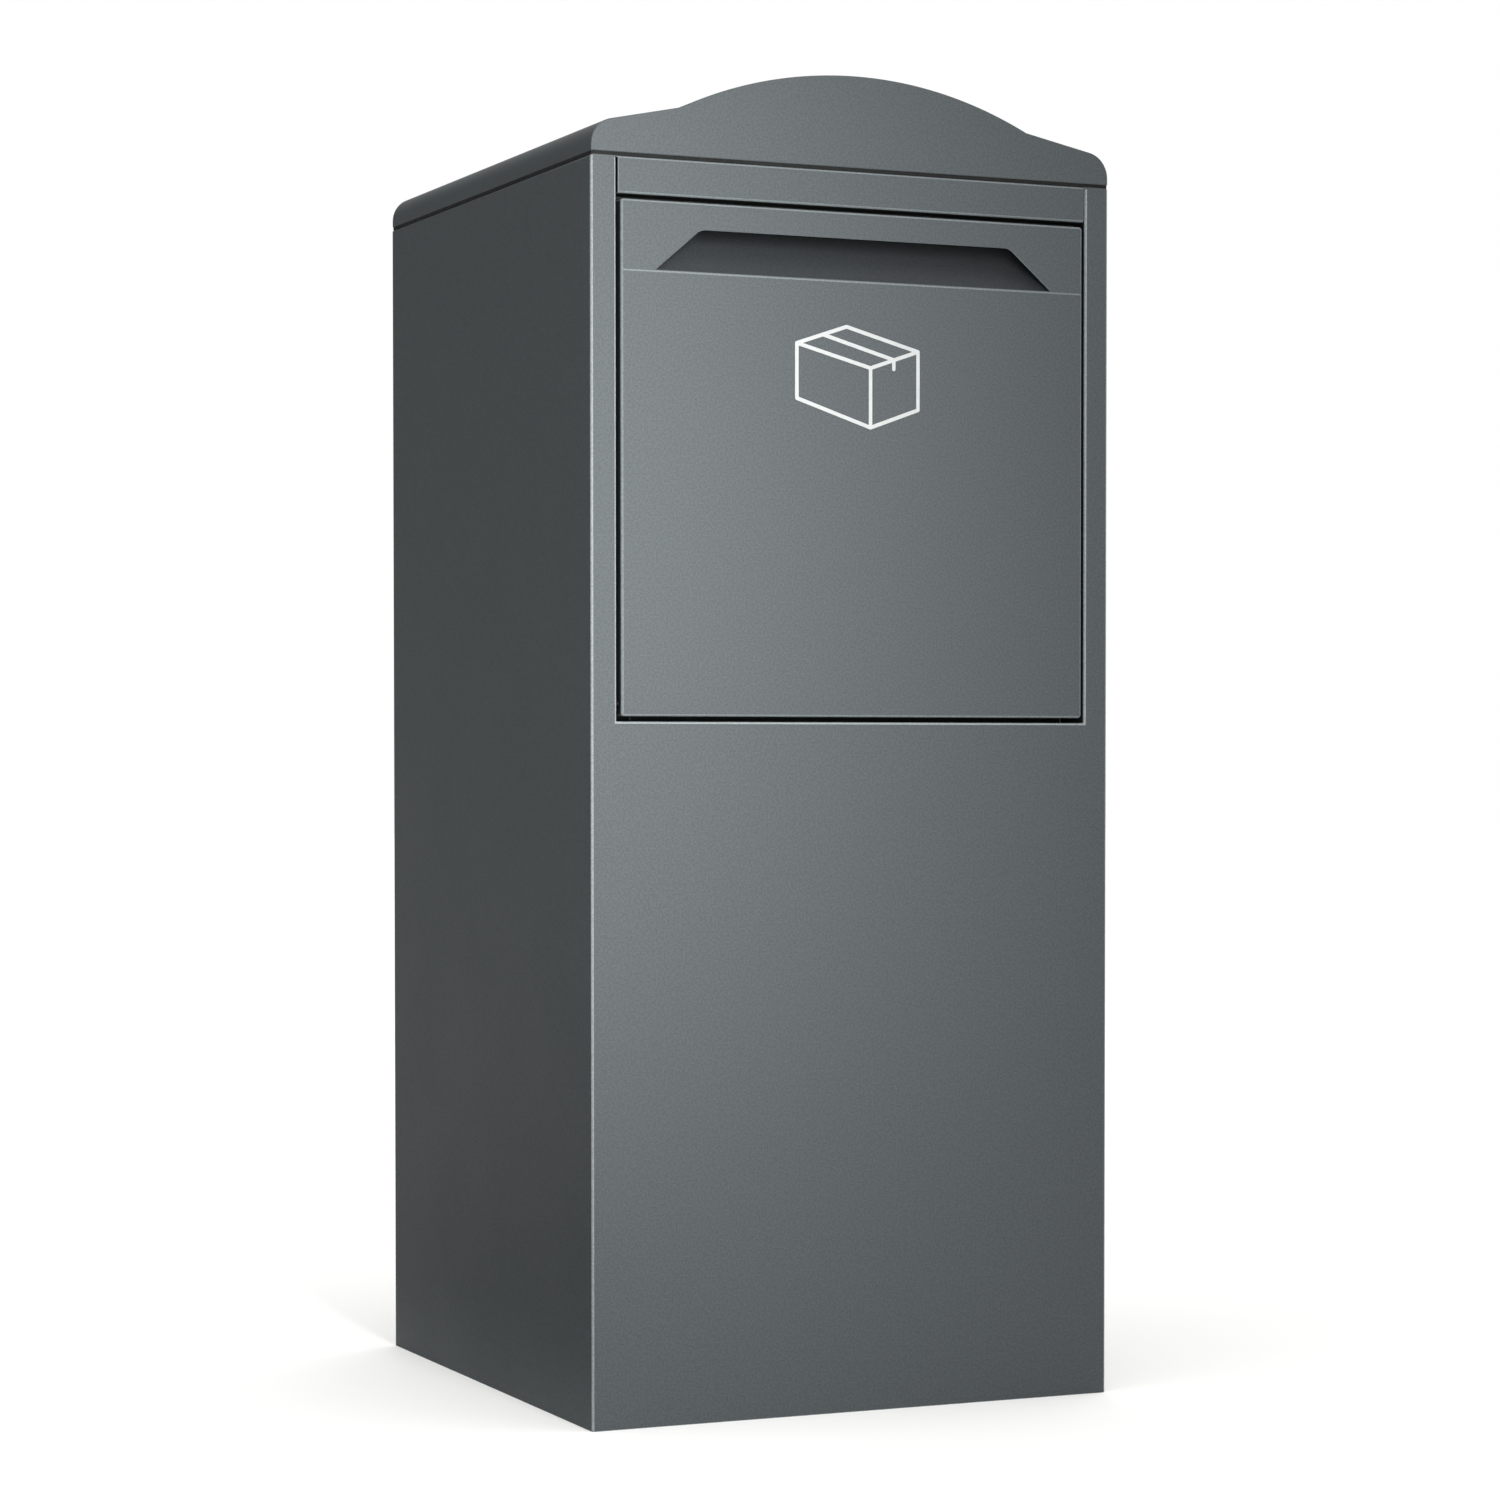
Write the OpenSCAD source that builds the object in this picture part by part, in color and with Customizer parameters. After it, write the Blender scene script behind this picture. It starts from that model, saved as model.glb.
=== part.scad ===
/* [Body] */
// Width of the body
body_w = 440; // [370:1:530]
// Depth of the body from front face to rear face
body_d = 467.5; // [390:0.5:560]
// Height of the body below the roof cap
body_h = 958.4; // [790:0.1:1150]
// Thickness of the body, door and cap sheet
sheet_t = 1.5; // [1.2:0.1:2]
// Outer radius of the sheet bends
bend_r = 2.5; // [2.2:0.1:4]

/* [Roof cap] */
// Height of the shadow gap that the gasket holds open
cap_gap = 2.5; // [2:0.1:4]
// Inset of the cap from the body sides
cap_inset = 0.5; // [0.3:0.1:2]
// Height of the upright cap sides below the rounded corners
cap_side_h = 5.3; // [4:0.1:9]
// Radius of the long rounded corners of the cap
cap_corner_r = 20; // [14:0.5:28]
// Slope of the flat shoulders
shoulder_angle = 11.8; // [8:0.1:16]
// Width of each shoulder, from the side to the dome
shoulder_w = 73; // [50:1:90]
// Rise of the dome above the shoulders
dome_rise = 33.7; // [25:0.1:42]
// Width of the flanges that the cap and body are screwed by
top_flange_w = 22; // [20:0.5:28]

/* [Drop door] */
// Width of the drop door
door_w = 392.4; // [326:0.2:400]
// Height of the drop door
door_h = 387.8; // [330:0.2:440]
// Height of the header strip above the drop door
header_h = 28; // [22:0.5:36]
// Gap beside the drop door
door_side_gap = 3; // [2.5:0.1:5]
// Gap above and below the drop door
door_end_gap = 3.8; // [3.4:0.1:6]
// How far the drop door stands proud of the body
door_proud = 1.5; // [1:0.1:2]
// Depth of the drop door pan
pan_depth = 20; // [19:0.5:24]
// Opening angle of the drop door and its hopper
hopper_angle = 50; // [40:1:50]

/* [Grip] */
// Height of the crease line below the top edge of the drop door
crease_drop = 53.3; // [48:0.1:60]
// Distance from the side of the drop door to the foot of the grip opening
grip_edge = 28.2; // [24:0.1:60]
// How far each side of the grip opening leans in from its foot to its top
grip_lean = 37; // [24:0.5:50]
// Height of the grip opening
grip_h = 31.8; // [26:0.1:34]
// Radius of the upper corners of the grip opening
grip_corner_r = 10; // [6:0.5:14]
// Depth of the pocket behind the grip opening
grip_depth = 34; // [28:0.5:35]

/* [Symbol] */
// Line width of the parcel drawing on the drop door
stroke_w = 2.9; // [2:0.1:4]
// Height of the middle of the drawing above the lower edge of the drop door
symbol_rise = 262; // [120:1:262]

/* [Hopper] */
// Height of the hinge axis above the sill of the drop opening
hinge_rise = 13.1; // [12.8:0.1:16]
// Depth of the hinge axis behind the front face
hinge_depth = 7; // [6.5:0.1:8]
// Radius of the hopper hinge pins
hinge_pin_r = 3; // [2.5:0.1:3.6]
// Length of the chute tray
tray_len = 320; // [250:1:340]
// Downward slope of the tray with the drop door closed
tray_tilt = 35; // [30:1:42]
// Wire diameter of the closing springs
spring_wire = 2; // [1.6:0.1:2.2]

/* [Rear door] */
// Width of the fixed strip on each side of the rear door
rear_strip_w = 30; // [29:0.5:45]
// Height of the sill below the rear door
rear_sill_h = 45; // [34:1:60]
// Height of the rear door opening
rear_opening_h = 460; // [380:1:470]
// Gap around the rear door
rear_gap = 2.5; // [2.2:0.1:4]
// Depth of the rear door pan
rear_pan_depth = 18; // [17:0.5:19]
// Radius of the lock barrel
lock_r = 9.5; // [8:0.1:11]
// Length of the lock cam from its axis
cam_len = 45; // [43:0.5:50]

/* [Base] */
// Thickness of the base plate
base_t = 2; // [1.6:0.1:3]
// Height of the turned-up edge of the base plate
base_lip_h = 25; // [18:1:30]
// Radius of the floor anchor holes
anchor_r = 4.5; // [3.5:0.1:6]
// Anchor spacing across the width
anchor_x = 300; // [240:1:320]
// Anchor spacing along the depth
anchor_y = 330; // [270:1:340]

/* [Hidden] */
$fn = 48;

PAINT = "#4a4f52";
PAINT_DARK = "#3b4043";
ZINC = "#b4b7b8";
RUBBER = "#1c1c1c";
WHITE = "#e8e8e6";
BRASS = "#b79a58";

front = -body_d / 2;
rear = body_d / 2;
bend_in_r = bend_r - sheet_t;

// Drop opening in the body
opening_w = door_w + 2 * door_side_gap;
opening_top = body_h - header_h;
door_top = opening_top - door_end_gap;
door_bottom = door_top - door_h;
sill_z = door_bottom - door_end_gap;
jamb_w = (body_w - opening_w) / 2;
jamb_return = 36;
skin_in = sheet_t - door_proud;
pan_back = pan_depth - door_proud;
hinge_y = front + hinge_depth;
hinge_z = sill_z + hinge_rise;

// Header strip, set in between the jambs on its end tabs
header_half = opening_w / 2 - 1.2;
header_tab = 24;
header_screw_depth = 14;
header_screw_zs = [opening_top + 8, opening_top + 20];

// Stops and seal behind the drop door
rest_gap = 0.3;
seal_t = 1.2;
stop_front = pan_back + rest_gap + seal_t;
stop_leg = 16;
stop_drop = 9.35;
stop_foot_z = hinge_z + 14;
seal_top_z = opening_top - 2.5;
buffer_t = 3;
buffer_h = 40;
buffer_foot_z = opening_top - 65;

// Closing springs: the coil clears the door skin and hooks behind the sill flange
coil_r = hinge_depth - rest_gap - spring_wire / 2;
coil_turns = 8;
coil_pitch = 1.6 * spring_wire;
coil_steps = 12;
wire_sides = 6;
sill_return = hinge_depth + coil_r - spring_wire / 2 - rest_gap;
spring_outer_x = door_w / 2 - 12;
spring_inner_x = spring_outer_x - coil_turns * coil_pitch;

// Cheeks and tray
cheek_x = door_w / 2 - 6.2;
cheek_in = cheek_x - sheet_t;
stop_side_clear = 1.5;
cheek_r = opening_top - stop_drop - hinge_z - 1.4;
cheek_corner_angle = 35;
fold_w = 14;
tray_foot_z = stop_foot_z;
liner_foot_z = tray_foot_z + 3;
tab_front = stop_front + sheet_t + buffer_t + rest_gap;

// Hinge bushes
bush_wall = 1.5;
bush_flange_t = 2;
bracket_t = 3;

// Grip opening and pocket
grip_foot_w = door_w - 2 * grip_edge;
grip_top_w = grip_foot_w - 2 * grip_lean;
crease_z = door_top - crease_drop;
grip_foot_z = crease_z + 1.1;
grip_top_z = grip_foot_z + grip_h;
grip_slope = atan2(grip_h, grip_lean);
corner_run = grip_corner_r * tan(grip_slope / 2);
pocket_foot_z = crease_z - 2.3;
pocket_top_z = hinge_z + cheek_r - 2.8;
pocket_in_x = grip_foot_w / 2 + 2;
pocket_rise = pocket_top_z - pocket_foot_z;
pocket_slope = pocket_rise / (grip_depth - skin_in);
liner_top_z = pocket_foot_z - 2 * sheet_t + pocket_slope * (pan_back - sheet_t - skin_in) - rest_gap;

// Rear door
rear_half = body_w / 2 - rear_strip_w;
rear_top_z = rear_sill_h + rear_opening_h;
panel_y = rear - 2 * sheet_t;
rear_edge_in = 5.5;
rear_pin_r = 2.5;
rear_bush_r = rear_edge_in - sheet_t - 0.4;
rear_door_half = rear_half - rear_gap;
rear_hinge_x = rear_door_half - rear_edge_in;
rear_hinge_y = rear - rear_edge_in;
rear_pan_y = rear - rear_pan_depth;
frame_return_y = rear_pan_y - 3;
lock_x = -(rear_door_half - 32.5);
lock_z = rear_sill_h + rear_opening_h / 2;
lock_inner_y = frame_return_y - 0.5;
lock_head_h = 1.5;
lock_plug_r = lock_r - 3;
lock_nut_h = 5;
cam_t = 3;
cam_w = 14;
cam_hub_r = 4;
cam_screw_r = 2;
rear_ear = 3;
rear_stop_h = 20;
rear_stop_t = 1.2;
rear_stop_zs = [rear_sill_h + 60, rear_top_z - 80];

// Roof cap
cap_z = body_h + cap_gap;
cap_half = body_w / 2 - cap_inset;
corner_x = cap_half - cap_corner_r;
corner_z = cap_z + cap_side_h;
dome_x = cap_half - shoulder_w + cap_inset;
shoulder_top_x = corner_x + cap_corner_r * sin(shoulder_angle);
shoulder_top_z = corner_z + cap_corner_r * cos(shoulder_angle);
dome_foot_z = shoulder_top_z + (shoulder_top_x - dome_x) * tan(shoulder_angle);
dome_r = (dome_x * dome_x + dome_rise * dome_rise) / (2 * dome_rise);
dome_z = dome_foot_z + dome_rise - dome_r;
gasket_inset = 1;
gasket_w = top_flange_w - gasket_inset - 3;
screw_r = 2.5;
screw_head_r = 4.5;
screw_head_h = 3;
screw_clear = 0.25;
nut_h = 4;
nut_r = 4.6;
screw_x = body_w / 2 - 12;
screw_ys = [front + 60, 0, rear - 60];

// Rear deflector
deflector_reach = 126;
deflector_fall = 90;
deflector_top_z = hinge_z + 212;
tooth_pitch = 24;
tooth_gap = 12;
tooth_depth = 25;
deflector_half = body_w / 2 - sheet_t - 0.5;
deflector_flange_h = 30;
deflector_angle = atan2(deflector_fall, deflector_reach);
deflector_slant = sqrt(deflector_fall * deflector_fall + deflector_reach * deflector_reach);

// Rivets
rivet_r = 2;
rivet_head_r = 4;
rivet_tail_r = 3;
rivet_head_h = 1.5;
panel_rivet_x = body_w / 2 - 13;
panel_rivet_zs = [60, 0.26 * body_h, 0.46 * body_h, 0.66 * body_h, 0.84 * body_h, body_h - 28];
deflector_rivet_xs = [-150, -50, 50, 150];
deflector_rivet_z = deflector_top_z + deflector_flange_h / 2;
flange_rivet_zs = [hinge_z + 90, hinge_z + 190, hinge_z + 290];
tray_rivet_runs = [60, tray_len / 2, tray_len - 60];
rivet_x = cheek_in - fold_w / 2;

// Parcel drawing: the corners of a box in outline, from its middle
symbol_t = 0.2;
symbol_z = door_bottom + symbol_rise;
sym_top = [-9.8, 38];
sym_left = [-51.7, 23.8];
sym_right = [51.4, 21.2];
sym_mid = [10.7, 7.1];
sym_left_foot = [-51.7, -18.2];
sym_mid_foot = [10.7, -38.7];
sym_right_foot = [51.4, -23.8];
sym_tape_back = [-28.7, 30.9];
sym_tape_front = [30.6, 14.1];
sym_tape_end = [30.6, 7];

// ---- Helpers ----

// A rectangle with four true round corners, centred
module rounded_rect(w, d, r) {
  square([w, d - 2 * r], center = true);
  square([w - 2 * r, d], center = true);
  for (sx = [-1, 1], sy = [-1, 1])
    translate([sx * (w / 2 - r), sy * (d / 2 - r)])
      circle(r);
}

// The outline of a bent sheet that runs all round a rounded rectangle
module sheet_ring(w, d) {
  difference() {
    rounded_rect(w, d, bend_r);
    rounded_rect(w - 2 * sheet_t, d - 2 * sheet_t, bend_in_r);
  }
}

// Extrudes an outline drawn in Y and Z along X, from x0
module along_x(x0, length) {
  translate([x0, 0, 0])
    rotate([90, 0, 90])
      linear_extrude(length)
        children();
}

// Extrudes an outline drawn in X and Z along Y, from y0
module along_y(y0, length) {
  translate([0, y0 + length, 0])
    rotate([90, 0, 0])
      linear_extrude(length)
        children();
}

// A box between two X, two depths behind the front face and two heights
module slab(x, depth, z) {
  translate([min(x[0], x[1]), front + depth[0], z[0]])
    cube([abs(x[1] - x[0]), depth[1] - depth[0], z[1] - z[0]]);
}

// A cylinder along X between two X positions
module rod_x(x0, x1, y, z, r) {
  translate([min(x0, x1), y, z])
    rotate([0, 90, 0])
      cylinder(h = abs(x1 - x0), r = r);
}

// A cylinder along Y between two Y positions
module rod_y(x, y0, y1, z, r) {
  translate([x, y0, z])
    rotate([-90, 0, 0])
      cylinder(h = y1 - y0, r = r);
}

// A blind rivet along +Z with its head on top of the grip and its tail below
module rivet(grip) {
  cylinder(h = grip, r = rivet_r);
  translate([0, 0, grip])
    cylinder(h = rivet_head_h, r1 = rivet_head_r, r2 = 0.55 * rivet_head_r);
  translate([0, 0, -rivet_head_h])
    cylinder(h = rivet_head_h, r = rivet_tail_r);
}

module both_sides() {
  for (side = [-1, 1])
    scale([side, 1, 1])
      children();
}

// ---- Body ----

// Plan of the body sheet below the drop opening, with its rear flanges
module lower_plan() {
  difference() {
    sheet_ring(body_w, body_d);
    translate([0, rear])
      square([2 * (rear_half + 5), 4 * sheet_t], center = true);
  }
}

// Plan of the body sheet beside the drop opening: sides and folded jambs
module upper_plan() {
  intersection() {
    lower_plan();
    translate([0, jamb_return])
      square([body_w + 2, body_d], center = true);
  }
  intersection() {
    for (side = [-1, 1])
      translate([side * (body_w - jamb_w) / 2, front + jamb_return])
        sheet_ring(jamb_w, 2 * jamb_return);
    translate([0, front + jamb_return / 2])
      square([body_w + 2, jamb_return], center = true);
  }
}

module body_shell() {
  color(PAINT)
    difference() {
      union() {
        linear_extrude(sill_z)
          lower_plan();
        translate([0, 0, sill_z])
          linear_extrude(body_h - sill_z)
            upper_plan();
        slab([-opening_w / 2 - sheet_t, opening_w / 2 + sheet_t], [0, sill_return],
             [sill_z - sheet_t, sill_z]);
        for (side = [-1, 1])
          slab([side * (body_w / 2 - top_flange_w), side * (body_w / 2 - sheet_t)],
               [jamb_return, body_d - 2 * sheet_t], [body_h - sheet_t, body_h]);
      }
      along_x(-opening_w / 2, opening_w)
        translate([front, sill_z - bend_in_r])
          difference() {
            square([bend_in_r, bend_in_r]);
            translate([bend_in_r, 0])
              circle(bend_in_r);
          }
      both_sides() {
        rod_x(opening_w / 2 - 1, opening_w / 2 + sheet_t + 1, hinge_y, hinge_z, hinge_pin_r + 0.5);
        for (z = header_screw_zs)
          rod_x(opening_w / 2 - 1, opening_w / 2 + sheet_t + 1, front + header_screw_depth, z, rivet_r);
        for (z = panel_rivet_zs)
          rod_y(panel_rivet_x, rear - 2 * sheet_t, rear + 1, z, rivet_r);
        for (y = screw_ys)
          translate([screw_x, y, body_h - 5])
            cylinder(h = 10, r = screw_r + screw_clear);
      }
    }
}

module base_plate() {
  half = body_w / 2 - sheet_t;
  depth = body_d - 3 * sheet_t;
  color(PAINT_DARK)
    difference() {
      linear_extrude(base_lip_h)
        intersection() {
          translate([0, -sheet_t / 2])
            square([2 * half, depth], center = true);
          rounded_rect(2 * half, body_d - 2 * sheet_t, bend_in_r + 0.2);
        }
      slab([-half + sheet_t, half - sheet_t], [2 * sheet_t, body_d - 3 * sheet_t],
           [base_t, base_lip_h + 1]);
      for (sx = [-1, 1], sy = [-1, 1])
        translate([sx * anchor_x / 2, sy * anchor_y / 2, -1])
          cylinder(h = base_t + 2, r = anchor_r);
      for (sx = [-1, 1])
        translate([sx * anchor_x / 4, 0, -1])
          cylinder(h = base_t + 2, r = 3);
    }
}

// Rear sheet with the opening for the rear door and its turned-in edges
module back_panel() {
  half = body_w / 2 - sheet_t - bend_in_r;
  depth_in = frame_return_y - front;
  depth_out = panel_y - front;
  color(PAINT)
    difference() {
      union() {
        slab([-half, half], [depth_out, depth_out + sheet_t], [0, body_h - sheet_t]);
        slab([-rear_half - sheet_t, rear_half + sheet_t], [depth_in, depth_out],
             [rear_sill_h - sheet_t, rear_top_z + sheet_t]);
        slab([-half + top_flange_w, half - top_flange_w],
             [depth_out - top_flange_w, depth_out + sheet_t], [body_h - sheet_t, body_h]);
      }
      slab([-rear_half, rear_half], [depth_in - 1, depth_out + 3 * sheet_t], [rear_sill_h, rear_top_z]);
      both_sides()
        for (z = panel_rivet_zs)
          rod_y(panel_rivet_x, panel_y - 1, rear, z, rivet_r);
      for (x = deflector_rivet_xs)
        rod_y(x, panel_y - 1, rear, deflector_rivet_z, rivet_r);
      for (z = [rear_sill_h - 5, rear_top_z - 5])
        translate([rear_hinge_x, rear_hinge_y, z])
          cylinder(h = 10, r = rear_pin_r);
    }
}

module back_panel_rivets() {
  color(ZINC)
    for (side = [-1, 1], z = panel_rivet_zs)
      translate([side * panel_rivet_x, panel_y, z])
        rotate([-90, 0, 0])
          rivet(2 * sheet_t);
}

module header_strip() {
  color(PAINT)
    difference() {
      union() {
        intersection() {
          along_x(-header_half, 2 * header_half)
            translate([front + jamb_return, opening_top + header_h / 2])
              sheet_ring(2 * jamb_return, header_h);
          slab([-body_w, body_w], [-1, jamb_return], [0, 2 * body_h]);
        }
        for (side = [-1, 1])
          slab([side * (header_half - sheet_t), side * header_half], [sheet_t / 2, header_tab],
               [opening_top + sheet_t / 2, body_h - sheet_t / 2]);
      }
      both_sides()
        for (z = header_screw_zs)
          rod_x(header_half - 2 * sheet_t, header_half + 1, front + header_screw_depth, z, rivet_r);
    }
}

// Screws that hold the header strip between the jambs
module header_screws() {
  seat_x = opening_w / 2 + sheet_t;
  color(ZINC)
    both_sides()
      for (z = header_screw_zs) {
        rod_x(header_half - 4, seat_x, front + header_screw_depth, z, rivet_r);
        rod_x(seat_x, seat_x + 2, front + header_screw_depth, z, 1.8 * rivet_r);
      }
}

// ---- Roof cap ----

// Outline of the cap in X and Z, moved inwards all round
module cap_outline(inset) {
  r = cap_corner_r - inset;
  tip_x = corner_x + r * sin(shoulder_angle);
  tip_z = corner_z + r * cos(shoulder_angle);
  apex_z = tip_z + tip_x * tan(shoulder_angle);
  intersection() {
    union() {
      polygon([
        [-cap_half + inset, cap_z - 1], [cap_half - inset, cap_z - 1], [cap_half - inset, corner_z],
        [tip_x, tip_z], [0, apex_z], [-tip_x, tip_z], [-cap_half + inset, corner_z]
      ]);
      for (side = [-1, 1])
        translate([side * corner_x, corner_z])
          circle(r);
      translate([0, dome_z])
        circle(dome_r - inset, $fn = 180);
    }
    translate([-cap_half + inset, cap_z])
      square([2 * (cap_half - inset), body_w]);
  }
}

module roof_cap() {
  color(PAINT)
    difference() {
      along_y(front, body_d)
        cap_outline(0);
      along_y(front + sheet_t, body_d - 2 * sheet_t)
        intersection() {
          cap_outline(sheet_t);
          translate([-body_w, cap_z + sheet_t])
            square([2 * body_w, body_w]);
        }
      slab([-body_w / 2 + top_flange_w, body_w / 2 - top_flange_w],
           [top_flange_w, body_d - top_flange_w], [cap_z - 1, cap_z + 2 * sheet_t]);
      both_sides()
        for (y = screw_ys)
          translate([screw_x, y, cap_z - 1])
            cylinder(h = 2 * sheet_t, r = screw_r + screw_clear);
    }
}

module cap_gasket() {
  color(RUBBER)
    translate([0, 0, body_h])
      linear_extrude(cap_gap)
        difference() {
          square([body_w - 2 * gasket_inset, body_d - 2 * gasket_inset], center = true);
          square([body_w - 2 * gasket_inset - 2 * gasket_w, body_d - 2 * gasket_inset - 2 * gasket_w],
                 center = true);
          for (side = [-1, 1], y = screw_ys)
            translate([side * screw_x, y])
              circle(screw_r + screw_clear);
        }
}

module cap_screws() {
  color(ZINC)
    for (side = [-1, 1], y = screw_ys)
      translate([side * screw_x, y, body_h - sheet_t - screw_head_h]) {
        cylinder(h = screw_head_h, r = screw_head_r);
        cylinder(h = screw_head_h + 2 * sheet_t + cap_gap + nut_h + 2, r = screw_r);
      }
}

module cap_nuts() {
  color(ZINC)
    for (side = [-1, 1], y = screw_ys)
      translate([side * screw_x, y, cap_z + sheet_t])
        difference() {
          cylinder(h = nut_h, r = nut_r, $fn = 6);
          translate([0, 0, -1])
            cylinder(h = nut_h + 2, r = screw_r, $fn = 48);
        }
}

// ---- Drop opening ----

// Folded angles round the opening that the drop door closes against
module door_stop_frame() {
  half = opening_w / 2;
  color(PAINT_DARK) {
    both_sides() {
      slab([cheek_x + stop_side_clear, half], [stop_front, stop_front + sheet_t],
           [stop_foot_z, opening_top]);
      slab([half - sheet_t, half], [stop_front, stop_front + stop_leg],
           [stop_foot_z, opening_top]);
    }
    slab([-half, half], [stop_front, stop_front + sheet_t], [opening_top - stop_drop, opening_top]);
    slab([-half, half], [stop_front, stop_front + stop_leg], [opening_top - sheet_t, opening_top]);
  }
}

module door_seal() {
  half = opening_w / 2;
  color(RUBBER) {
    both_sides()
      slab([cheek_x + stop_side_clear + rest_gap, half - 1.8], [stop_front - seal_t, stop_front],
           [stop_foot_z, seal_top_z]);
    slab([-half + 1.8, half - 1.8], [stop_front - seal_t, stop_front],
         [opening_top - stop_drop + rest_gap, seal_top_z]);
  }
}

module hinge_brackets() {
  inner = opening_w / 2 + sheet_t;
  color(ZINC)
    both_sides()
      difference() {
        slab([inner, inner + bracket_t], [sheet_t + bend_in_r, 32], [sill_z, sill_z + 40]);
        rod_x(inner - 1, inner + bracket_t + 1, hinge_y, hinge_z, hinge_pin_r);
      }
}

module hopper_hinge_pins() {
  outer = opening_w / 2 + sheet_t + bracket_t;
  color(ZINC)
    both_sides() {
      rod_x(spring_inner_x - 4, outer, hinge_y, hinge_z, hinge_pin_r);
      rod_x(outer, outer + 2, hinge_y, hinge_z, hinge_pin_r + 2);
    }
}

// Corners of one ring of the wire, square to its run
function wire_ring(at, run) =
  let (across = cross(run, [1, 0, 0]) / norm(cross(run, [1, 0, 0])), up = cross(run, across) / norm(run))
  [for (k = [0 : wire_sides - 1])
    at + spring_wire / 2 * (cos(360 * k / wire_sides) * across + sin(360 * k / wire_sides) * up)];

// A wire of round section along a list of points
module wire(points) {
  last = len(points) - 1;
  rings = [for (i = [0 : last]) wire_ring(points[i], points[min(i + 1, last)] - points[max(i - 1, 0)])];
  corners = [for (ring = rings, corner = ring) corner];
  sides = [
    for (i = [0 : last - 1], k = [0 : wire_sides - 1])
      let (next = (k + 1) % wire_sides, row = i * wire_sides, row_up = (i + 1) * wire_sides)
      [row + k, row + next, row_up + next, row_up + k]
  ];
  start_cap = [for (k = [wire_sides - 1 : -1 : 0]) k];
  end_cap = [for (k = [0 : wire_sides - 1]) last * wire_sides + k];
  polyhedron(corners, concat([start_cap], sides, [end_cap]), convexity = 8);
}

// A torsion spring round each hinge pin: one leg behind the sill, the other on the liner
module closing_springs() {
  turn_points = [
    for (step = [0 : coil_steps * coil_turns])
      let (angle = 360 * step / coil_steps)
      [spring_outer_x - coil_pitch * step / coil_steps, hinge_y + coil_r * cos(angle),
       hinge_z + coil_r * sin(angle)]
  ];
  sill_leg = [spring_outer_x, hinge_y + coil_r, sill_z - 6];
  liner_leg = [spring_inner_x, front + pan_back - sheet_t - rest_gap - spring_wire / 2, liner_foot_z + 25];
  color(ZINC)
    both_sides()
      wire(concat([sill_leg], turn_points, [liner_leg]));
}

module stop_buffers() {
  color(RUBBER)
    both_sides()
      slab([cheek_x + stop_side_clear + 0.5, opening_w / 2 - sheet_t - rest_gap],
           [stop_front + sheet_t, stop_front + sheet_t + buffer_t],
           [buffer_foot_z, buffer_foot_z + buffer_h]);
}

// Sloping plate with a toothed edge that keeps hands out of the store
module rear_deflector() {
  slope_y = panel_y - sheet_t;
  color(PAINT_DARK)
    difference() {
      along_x(-deflector_half, 2 * deflector_half) {
        translate([slope_y, deflector_top_z])
          square([sheet_t, deflector_flange_h]);
        translate([panel_y, deflector_top_z])
          rotate(180 + deflector_angle)
            translate([0, -sheet_t])
              square([deflector_slant, sheet_t]);
      }
      for (x = [-deflector_half + tooth_pitch / 2 : tooth_pitch : deflector_half - tooth_gap])
        translate([x, panel_y - deflector_reach - 2, deflector_top_z - deflector_fall - 4])
          cube([tooth_gap, tooth_depth, tooth_depth]);
      for (x = deflector_rivet_xs)
        rod_y(x, panel_y - 5, panel_y + 1, deflector_rivet_z, rivet_r);
    }
}

module deflector_rivets() {
  color(ZINC)
    for (x = deflector_rivet_xs)
      translate([x, panel_y - sheet_t, deflector_rivet_z])
        rotate([-90, 0, 0])
          rivet(2 * sheet_t);
}

// ---- Drop door and hopper ----

// The drop door's block with rounded front edges, moved inwards all round
module pan_block(inset) {
  r = bend_r - inset;
  intersection() {
    translate([0, 0, door_bottom + inset])
      linear_extrude(door_h - 2 * inset)
        translate([0, front - door_proud + pan_depth])
          rounded_rect(door_w - 2 * inset, 2 * pan_depth - 2 * inset, r);
    along_x(-door_w / 2, door_w)
      translate([front - door_proud + pan_depth, (door_bottom + door_top) / 2])
        rounded_rect(2 * pan_depth - 2 * inset, door_h - 2 * inset, r);
  }
}

// Outline of the grip opening in X and Z
module grip_outline() {
  foot = grip_foot_w / 2;
  round_x = grip_top_w / 2 - corner_run;
  side_x = grip_top_w / 2 + corner_run * cos(grip_slope);
  side_z = grip_top_z - corner_run * sin(grip_slope);
  polygon([
    [-foot, grip_foot_z], [foot, grip_foot_z], [side_x, side_z], [round_x, grip_top_z],
    [-round_x, grip_top_z], [-side_x, side_z]
  ]);
  for (side = [-1, 1])
    translate([side * round_x, grip_top_z - grip_corner_r])
      circle(grip_corner_r);
}

module drop_door() {
  skin_front = front - door_proud;
  edge_r = 0.9 * sheet_t;
  color(PAINT)
    difference() {
      pan_block(0);
      pan_block(sheet_t);
      slab([-body_w, body_w], [pan_back, 3 * pan_depth], [0, 2 * body_h]);
      along_y(skin_front - 1, sheet_t + 2)
        grip_outline();
      along_x(-grip_foot_w / 2, grip_foot_w)
        translate([skin_front, grip_foot_z - edge_r])
          difference() {
            translate([-0.01, 0])
              square([edge_r, edge_r + 0.01]);
            translate([edge_r, 0])
              circle(edge_r);
          }
      along_x(-door_w, 2 * door_w)
        translate([skin_front, crease_z - 0.6])
          rotate(45)
            square([0.5, 0.5], center = true);
      both_sides() {
        rod_x(cheek_x, door_w / 2 + 1, hinge_y, hinge_z, hinge_pin_r + bush_wall);
        slab([spring_inner_x - 4, spring_outer_x + 4], [max(0, skin_in), pan_depth],
             [door_bottom - 1, door_bottom + 2 * sheet_t]);
      }
    }
}

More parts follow.
